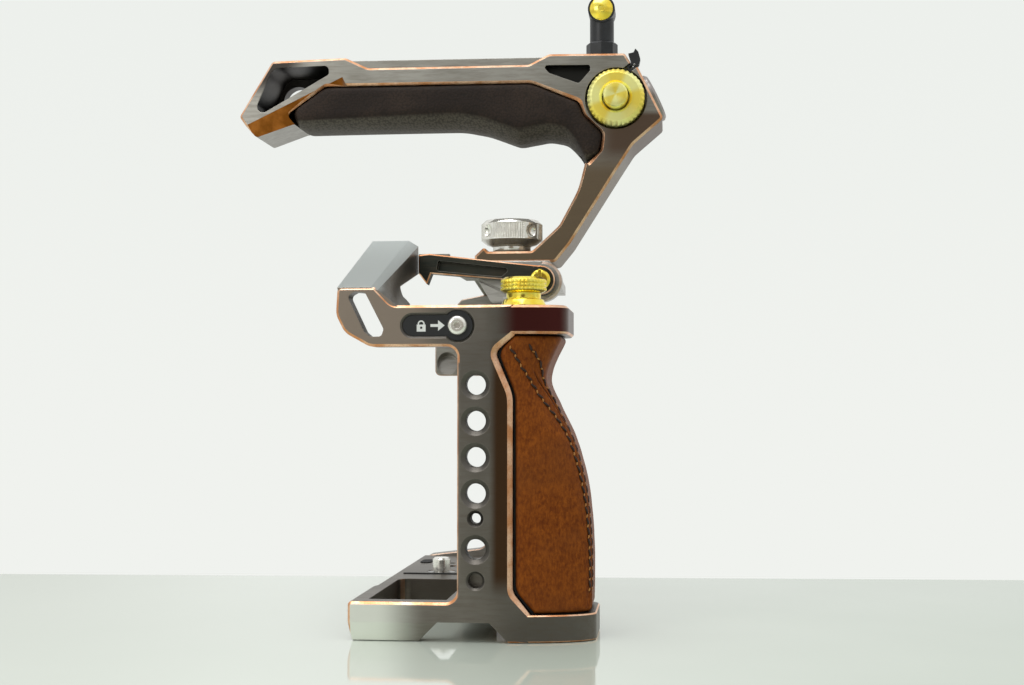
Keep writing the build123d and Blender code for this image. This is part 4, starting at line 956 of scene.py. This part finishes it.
# %% [markdown]
# ## Handle wrap
# The top handle holds a soft moulded wrap with finger waves along its lower side. Its solid is
# remeshed with small voxels, so that its hard edges can soften, and a short cloth run with
# pressure inside lets its faces crown. A cap on how far a point may move keeps it in its pockets.

# %% Handle wrap
def evaluated_mesh(piece):
    depsgraph = bpy.context.evaluated_depsgraph_get()
    return bpy.data.meshes.new_from_object(piece.evaluated_get(depsgraph))


def with_modifier(mesh, kind, **settings):
    """A mesh as one modifier leaves it."""
    piece = add_object("work", mesh)
    modifier = piece.modifiers.new(kind.lower(), kind)
    for key, value in settings.items():
        setattr(modifier, key, value)
    result = evaluated_mesh(piece)
    bpy.data.objects.remove(piece)
    return result


def swell(mesh, pressure, cap, frames=14):
    """Blow a closed mesh up a little with cloth, and hold every point within cap of its start."""
    piece = add_object("work", mesh)
    cloth = piece.modifiers.new("cloth", "CLOTH")
    cloth.settings.quality = 4
    cloth.settings.use_pressure = True
    cloth.settings.uniform_pressure_force = pressure
    cloth.settings.effector_weights.gravity = 0.0
    cloth.settings.tension_stiffness = 30
    cloth.point_cache.frame_end = frames
    start = [vert.co.copy() for vert in mesh.vertices]
    for number in range(1, frames + 1):
        bpy.context.scene.frame_set(number)
    swollen = evaluated_mesh(piece)
    for before, vert in zip(start, swollen.vertices):
        move = vert.co - before
        if move.length > cap:
            vert.co = before + move.normalized() * cap
    bpy.context.scene.frame_set(1)
    bpy.data.objects.remove(piece)
    return swollen


bm = bmesh_from(nodes["handle_grip"].data)
bmesh.ops.remove_doubles(bm, verts=bm.verts, dist=0.001 * MM)
wrap_mesh = with_modifier(mesh_from("handle_wrap", bm), "REMESH", mode="VOXEL", voxel_size=0.8 * MM)
bm = bmesh_from(wrap_mesh)
for _ in range(5):
    bmesh.ops.smooth_vert(bm, verts=bm.verts, factor=0.5, use_axis_x=True, use_axis_y=True, use_axis_z=True)
wrap_mesh = mesh_from("handle_wrap", bm)
wrap_mesh = swell(wrap_mesh, pressure=2.0, cap=0.45 * MM)
bm = bmesh_from(wrap_mesh)
wrap_low, wrap_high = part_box("handle_grip")
proud = 0.05 * MM
for vert in bm.verts:
    vert.co.x = min(max(vert.co.x, wrap_low.x - proud), wrap_high.x + proud)
wrap = settle(bm, "handle_wrap", "cage", soft_wrap, ["handle_grip"], sharp=80)

# %% [markdown]
# ## Gold knob and push button
# Turned parts start as a half profile that is spun round an axis. The knob's rim is notched, so
# the spin's points are pulled in again and again round it. Pairs of close loops beside its flat
# face keep the notches from bending the light there. The button sits in the knob's bore.

# %% Gold knob
knob_low, knob_high = box_of("side_knob")
knob_middle = (knob_low + knob_high) / 2
knob_rim = (knob_high.z - knob_low.z) / 2
face = knob_high.x - knob_low.x
shaft_bore, bore, bore_floor = 3.45, 4.75, 3.3
notches = 36
steps_per_notch = 8


def notched(count, depth, inner, outer, low=-math.inf, high=math.inf, width=0.35):
    """Shape for a spin: count grooves round the rim, from radius inner to outer."""
    def shape(point):
        radius = point.xy.length / MM
        if radius < inner or not low < point.z / MM < high:
            return point
        turn = math.atan2(point.y, point.x) / math.tau * count
        off = abs(turn - round(turn)) / width
        share = clipped((radius - inner) / (outer - inner))
        return pulled_in(point, depth * max(1.0 - off * off, 0.0) * share)
    return shape


profile = [
    (shaft_bore, 0.0), (shaft_bore, bore_floor), (bore - 0.2, bore_floor), (bore, bore_floor + 0.2),
    (bore, face - 0.85), (bore + 0.7, face - 0.08), (bore + 0.85, face), (bore + 1.0, face),
    (knob_rim - 1.62, face), (knob_rim - 1.5, face), (knob_rim - 1.38, face - 0.05),
    (knob_rim - 0.7, face - 0.72), (knob_rim - 0.05, face - 1.4), (knob_rim, face - 1.55),
    (knob_rim, face - 3.0), (knob_rim, 0.5), (knob_rim - 0.5, 0.0), (shaft_bore, 0.0),
]
bevel = notched(notches, 0.2, knob_rim - 1.5, knob_rim - 0.4, face - 1.9)
bm = turned(profile, notches * steps_per_notch, bevel, TO_SIDE, (knob_high.x, knob_middle.y, knob_middle.z))
settle(bm, "gold_knob", "side_knob", gold_faced, ["side_knob"], sharp=24)

# %% Push button
button_low, button_high = box_of("knob_button")
button_rim = (button_high.z - button_low.z) / 2
cap = 8.1
stem, stem_end = 1.6, -19.3
profile = [
    (0.0, cap - 0.12), (0.6, cap - 0.1), (2.2, cap - 0.04), (button_rim - 0.55, cap),
    (button_rim - 0.42, cap - 0.03), (button_rim - 0.05, cap - 0.42), (button_rim, cap - 0.55),
    (button_rim, 0.15), (button_rim - 0.15, 0.0), (stem, 0.0), (stem, stem_end), (0.0, stem_end),
]
bm = turned(profile, 96, None, TO_SIDE, (button_low.x + cap, knob_middle.y, knob_middle.z))
settle(bm, "gold_button", "push_button", gold_faced, ["knob_button"], sharp=24)

# %% [markdown]
# ## Gold thumb screw
# The screw that locks the grip head has two flanges round a narrow neck. The upper one is knurled
# and has two turned grooves, and an M6 stud hangs below. Its points are measured from the top.

# %% Gold thumb screw
screw_low, screw_high = box_of("grip_thumb_screw")
screw_middle = (screw_low + screw_high) / 2
flange = (screw_high.x - screw_low.x) / 2
top, tip = screw_high.z, screw_low.z
groove = flange - 0.42
lower = flange - 0.15
stud = 3.0
knurls = 40
steps_per_knurl = 7
points_below_top = [
    (0.0, 0.25), (1.2, 0.25), (2.0, 0.1), (flange - 2.2, 0.0), (flange - 1.3, 0.12), (flange - 0.25, 0.85),
    (flange - 0.08, 1.05), (flange, 1.3), (flange, 1.85), (groove, 1.98), (groove, 2.2), (flange, 2.33),
    (flange, 3.05), (groove, 3.18), (groove, 3.4), (flange, 3.53), (flange, 4.0), (flange - 0.15, 4.2),
    (flange - 0.9, 4.75), (5.35, 5.0), (5.3, 5.2), (5.3, 6.5), (5.4, 6.7), (flange - 1.0, 7.0),
    (flange - 0.85, 7.2), (flange - 0.25, 8.5), (lower, 8.7), (lower, 9.15), (flange - 0.3, 9.3), (stud, 9.3),
]
profile = [(radius, top - depth) for radius, depth in points_below_top]
profile += [(stud, tip + 0.5), (stud - 0.5, tip), (0.0, tip)]
grip_band = notched(knurls, 0.16, flange - 0.3, flange, top - 4.4, top - 0.9, 0.42)
bm = turned(profile, knurls * steps_per_knurl, grip_band, origin=(screw_middle.x, screw_middle.y, 0))
settle(bm, "gold_thumb_screw", "thumb_screw", gold, ["grip_thumb_screw"], sharp=22)

# %% [markdown]
# ## Clamping knob
# The chrome knob that clamps the handle has bands of fine upright ribs between four round
# dimples. The ribs come from the spin's shape. The dimples are cut by balls with a Boolean
# modifier, which keeps their mouths crisp.

# %% Clamping knob
clamp_low, clamp_high = box_of("handle_knob")
clamp_middle = (clamp_low + clamp_high) / 2
rim = (clamp_high.x - clamp_low.x) / 2
body = clamp_high.z - clamp_low.z
stud_bore, neck, top_bore, collar = 3.3, 6.7, 3.8, 3.1
dimples = 4
dimple_ball = 2.75
dimple_reach = rim + 1.55
dimple_height = (collar + body) / 2 + 0.1
ribs_per_band = 13
rib_depth = 0.32
ribbed_share = 61 / 90


def clamp_ribs(point):
    """Fine upright ribs between the dimples, on the straight part of the wall only."""
    if point.xy.length / MM < rim - 0.05 or not collar + 1.7 < point.z / MM < body - 1.5:
        return point
    share = (math.atan2(point.y, point.x) / math.tau * dimples + 0.5) % 1.0 - 0.5
    if abs(share) > ribbed_share / 2:
        return point
    wave = math.cos(math.tau * ribs_per_band * (share / ribbed_share + 0.5))
    return pulled_in(point, rib_depth * (0.5 - 0.5 * wave))


def carve(mesh, cutter_bm):
    """Cut one closed mesh out of another."""
    cutter = add_object("cutter", mesh_from("cutter", cutter_bm))
    result = with_modifier(mesh, "BOOLEAN", operation="DIFFERENCE", solver="EXACT", object=cutter)
    bpy.data.objects.remove(cutter)
    return result


profile = [
    (stud_bore, 0.0), (5.6, 0.0), (5.9, 0.1), (neck - 0.1, 0.8), (neck, 1.1), (neck, 2.3), (neck + 0.2, 2.5),
    (rim - 2.0, collar), (rim - 0.3, collar + 1.35), (rim - 0.06, collar + 1.5), (rim, collar + 1.65),
    (rim, collar + 1.75), (rim, body - 1.55), (rim, body - 1.45), (rim - 0.06, body - 1.3),
    (rim - 1.2, body - 0.15), (rim - 1.6, body), (top_bore + 0.2, body), (top_bore, body - 0.2),
    (top_bore, body - 0.9), (stud_bore, body - 0.9), (stud_bore, 0.0),
]
bm = turned(profile, 480, clamp_ribs)
bmesh.ops.recalc_face_normals(bm, faces=bm.faces)
balls = bmesh.new()
for n in range(dimples):
    angle = math.tau / dimples * (n + 0.5)
    spot = Vector((dimple_reach * math.cos(angle), dimple_reach * math.sin(angle), dimple_height)) * MM
    place = Matrix.Translation(spot)
    bmesh.ops.create_uvsphere(balls, u_segments=48, v_segments=32, radius=dimple_ball * MM, matrix=place)
bm = bmesh_from(carve(mesh_from("clamp_knob", bm), balls))
bmesh.ops.translate(bm, vec=Vector((clamp_middle.x, clamp_middle.y, clamp_low.z)) * MM, verts=bm.verts)
settle(bm, "chrome_knob", "clamp_knob", steel, ["handle_knob"], sharp=24)

# %% [markdown]
# ## Studio
# The light is soft: a bright room all round, and one dim warm patch behind the lens that the flat
# faces of the metal mirror, so that they keep their contrast. The wall that the lens sees has a
# tone of its own, which the Light Path node keeps out of the light.

# %% World
world = bpy.data.worlds.new("studio")
bpy.context.scene.world = world
world.use_nodes = True


class Surround(Finish):
    """The world's node tree, with the same way of adding nodes."""

    def __init__(self, world):
        self.tree = world.node_tree
        self.tree.nodes.clear()


studio = Surround(world)
way = studio.add("TexCoord", out="Generated")
x, y, z = studio.axes(way)
haze = studio.add("TexNoise", None, {"Vector": way, "Scale": 1.6, "Detail": 1.0})
room = studio.blend(haze.rise(0.35, 0.65), tone(206, 207, 203), tone(250, 251, 249))
room = studio.blend(z.rise(0.35, 0.9), room, tone(252, 253, 255))
across, up = (y + 0.02) / 0.24, (z + 0.08) / 0.27
behind_lens = (1 - (across * across + up * up).rise(0.35, 1.7)) * x.rise(0.0, -0.3)
room = studio.blend(behind_lens, room, tone(104, 84, 66))
lit = studio.add("Background", None, {"Color": room, "Strength": 0.92})
wall_tone = studio.blend(z.rise(-0.05, 0.30), tone(240, 242, 238), tone(237, 240, 236))
seen = studio.add("Background", None, {"Color": wall_tone, "Strength": 1.0})
camera_ray = studio.add("LightPath", out="Is Camera Ray")
mixed = studio.add("MixShader", None, {0: camera_ray, 1: lit, 2: seen})
output = studio.tree.nodes.new("ShaderNodeOutputWorld")
studio.tree.links.new(mixed.socket, output.inputs[0])
print("world nodes:", len(studio.tree.nodes))

# %% [markdown]
# ## Table
# The cage stands on a slab of pale glass that ends just behind it. The slab lies a hair below
# the cage's feet, so that the two never share a plane.

# %% Table
glass_top = Finish("glass_top", Roughness=0.06, IOR=1.5)
milky = glass_top.grain(90 * MM, detail=2.0)
side = glass_top.axes(glass_top.place())[1] + milky * 0.1 - 0.05
glass_top.wire(Base_Color=glass_top.blend(side.rise(-0.28, 0.14), tone(176, 188, 172), tone(220, 227, 216)))

table_edge = 65 * MM
table_half = Vector((900, 2000, 0)) * MM
table_thickness = 3 * MM
table_gap = 0.2 * MM
table_turn = Matrix.Rotation(math.radians(3.4), 3, "Z")
bm = bmesh.new()
bmesh.ops.create_grid(bm, x_segments=12, y_segments=12, size=1.0)
bmesh.ops.scale(bm, vec=(table_half.x, table_half.y, 1.0), verts=bm.verts)
bmesh.ops.translate(bm, vec=(table_edge - table_half.x, 0.0, -table_gap), verts=bm.verts)
bmesh.ops.rotate(bm, cent=(table_edge, -15 * MM, 0.0), matrix=table_turn, verts=bm.verts)
slab = bmesh.ops.extrude_face_region(bm, geom=list(bm.faces))
underside = [part for part in slab["geom"] if isinstance(part, bmesh.types.BMVert)]
bmesh.ops.translate(bm, vec=(0, 0, -table_thickness), verts=underside)
bmesh.ops.recalc_face_normals(bm, faces=bm.faces)
table_mesh = mesh_from("table", bm)
table_mesh.materials.append(glass_top.material)
table = add_object("table", table_mesh)
print("table edge at", table_edge)

# %% [markdown]
# ## Lamps
# Two broad lamps keep the shadows soft. One hangs high, and a weaker, warmer one fills from the
# lens's side.

# %% Lamps
def soft_lamp(name, place, size, watts, colour=(1, 1, 1), target=(0.0, -0.02, 0.1)):
    """Rectangular lamp at place that looks at target."""
    light = bpy.data.lights.new(name, "AREA")
    light.shape = "RECTANGLE"
    light.size, light.size_y = size
    light.energy = watts
    light.color = colour
    lamp = add_object(name, light)
    lamp.location = place
    lamp.rotation_mode = "QUATERNION"
    lamp.rotation_quaternion = (Vector(target) - Vector(place)).to_track_quat("-Z", "Y")


soft_lamp("ceiling_strip", (-0.25, 0.15, 0.95), (0.7, 0.5), 3.2)
soft_lamp("near_fill", (-0.8, 0.5, 0.45), (0.35, 0.35), 0.9, (1.0, 0.97, 0.93))
print("lamps placed")
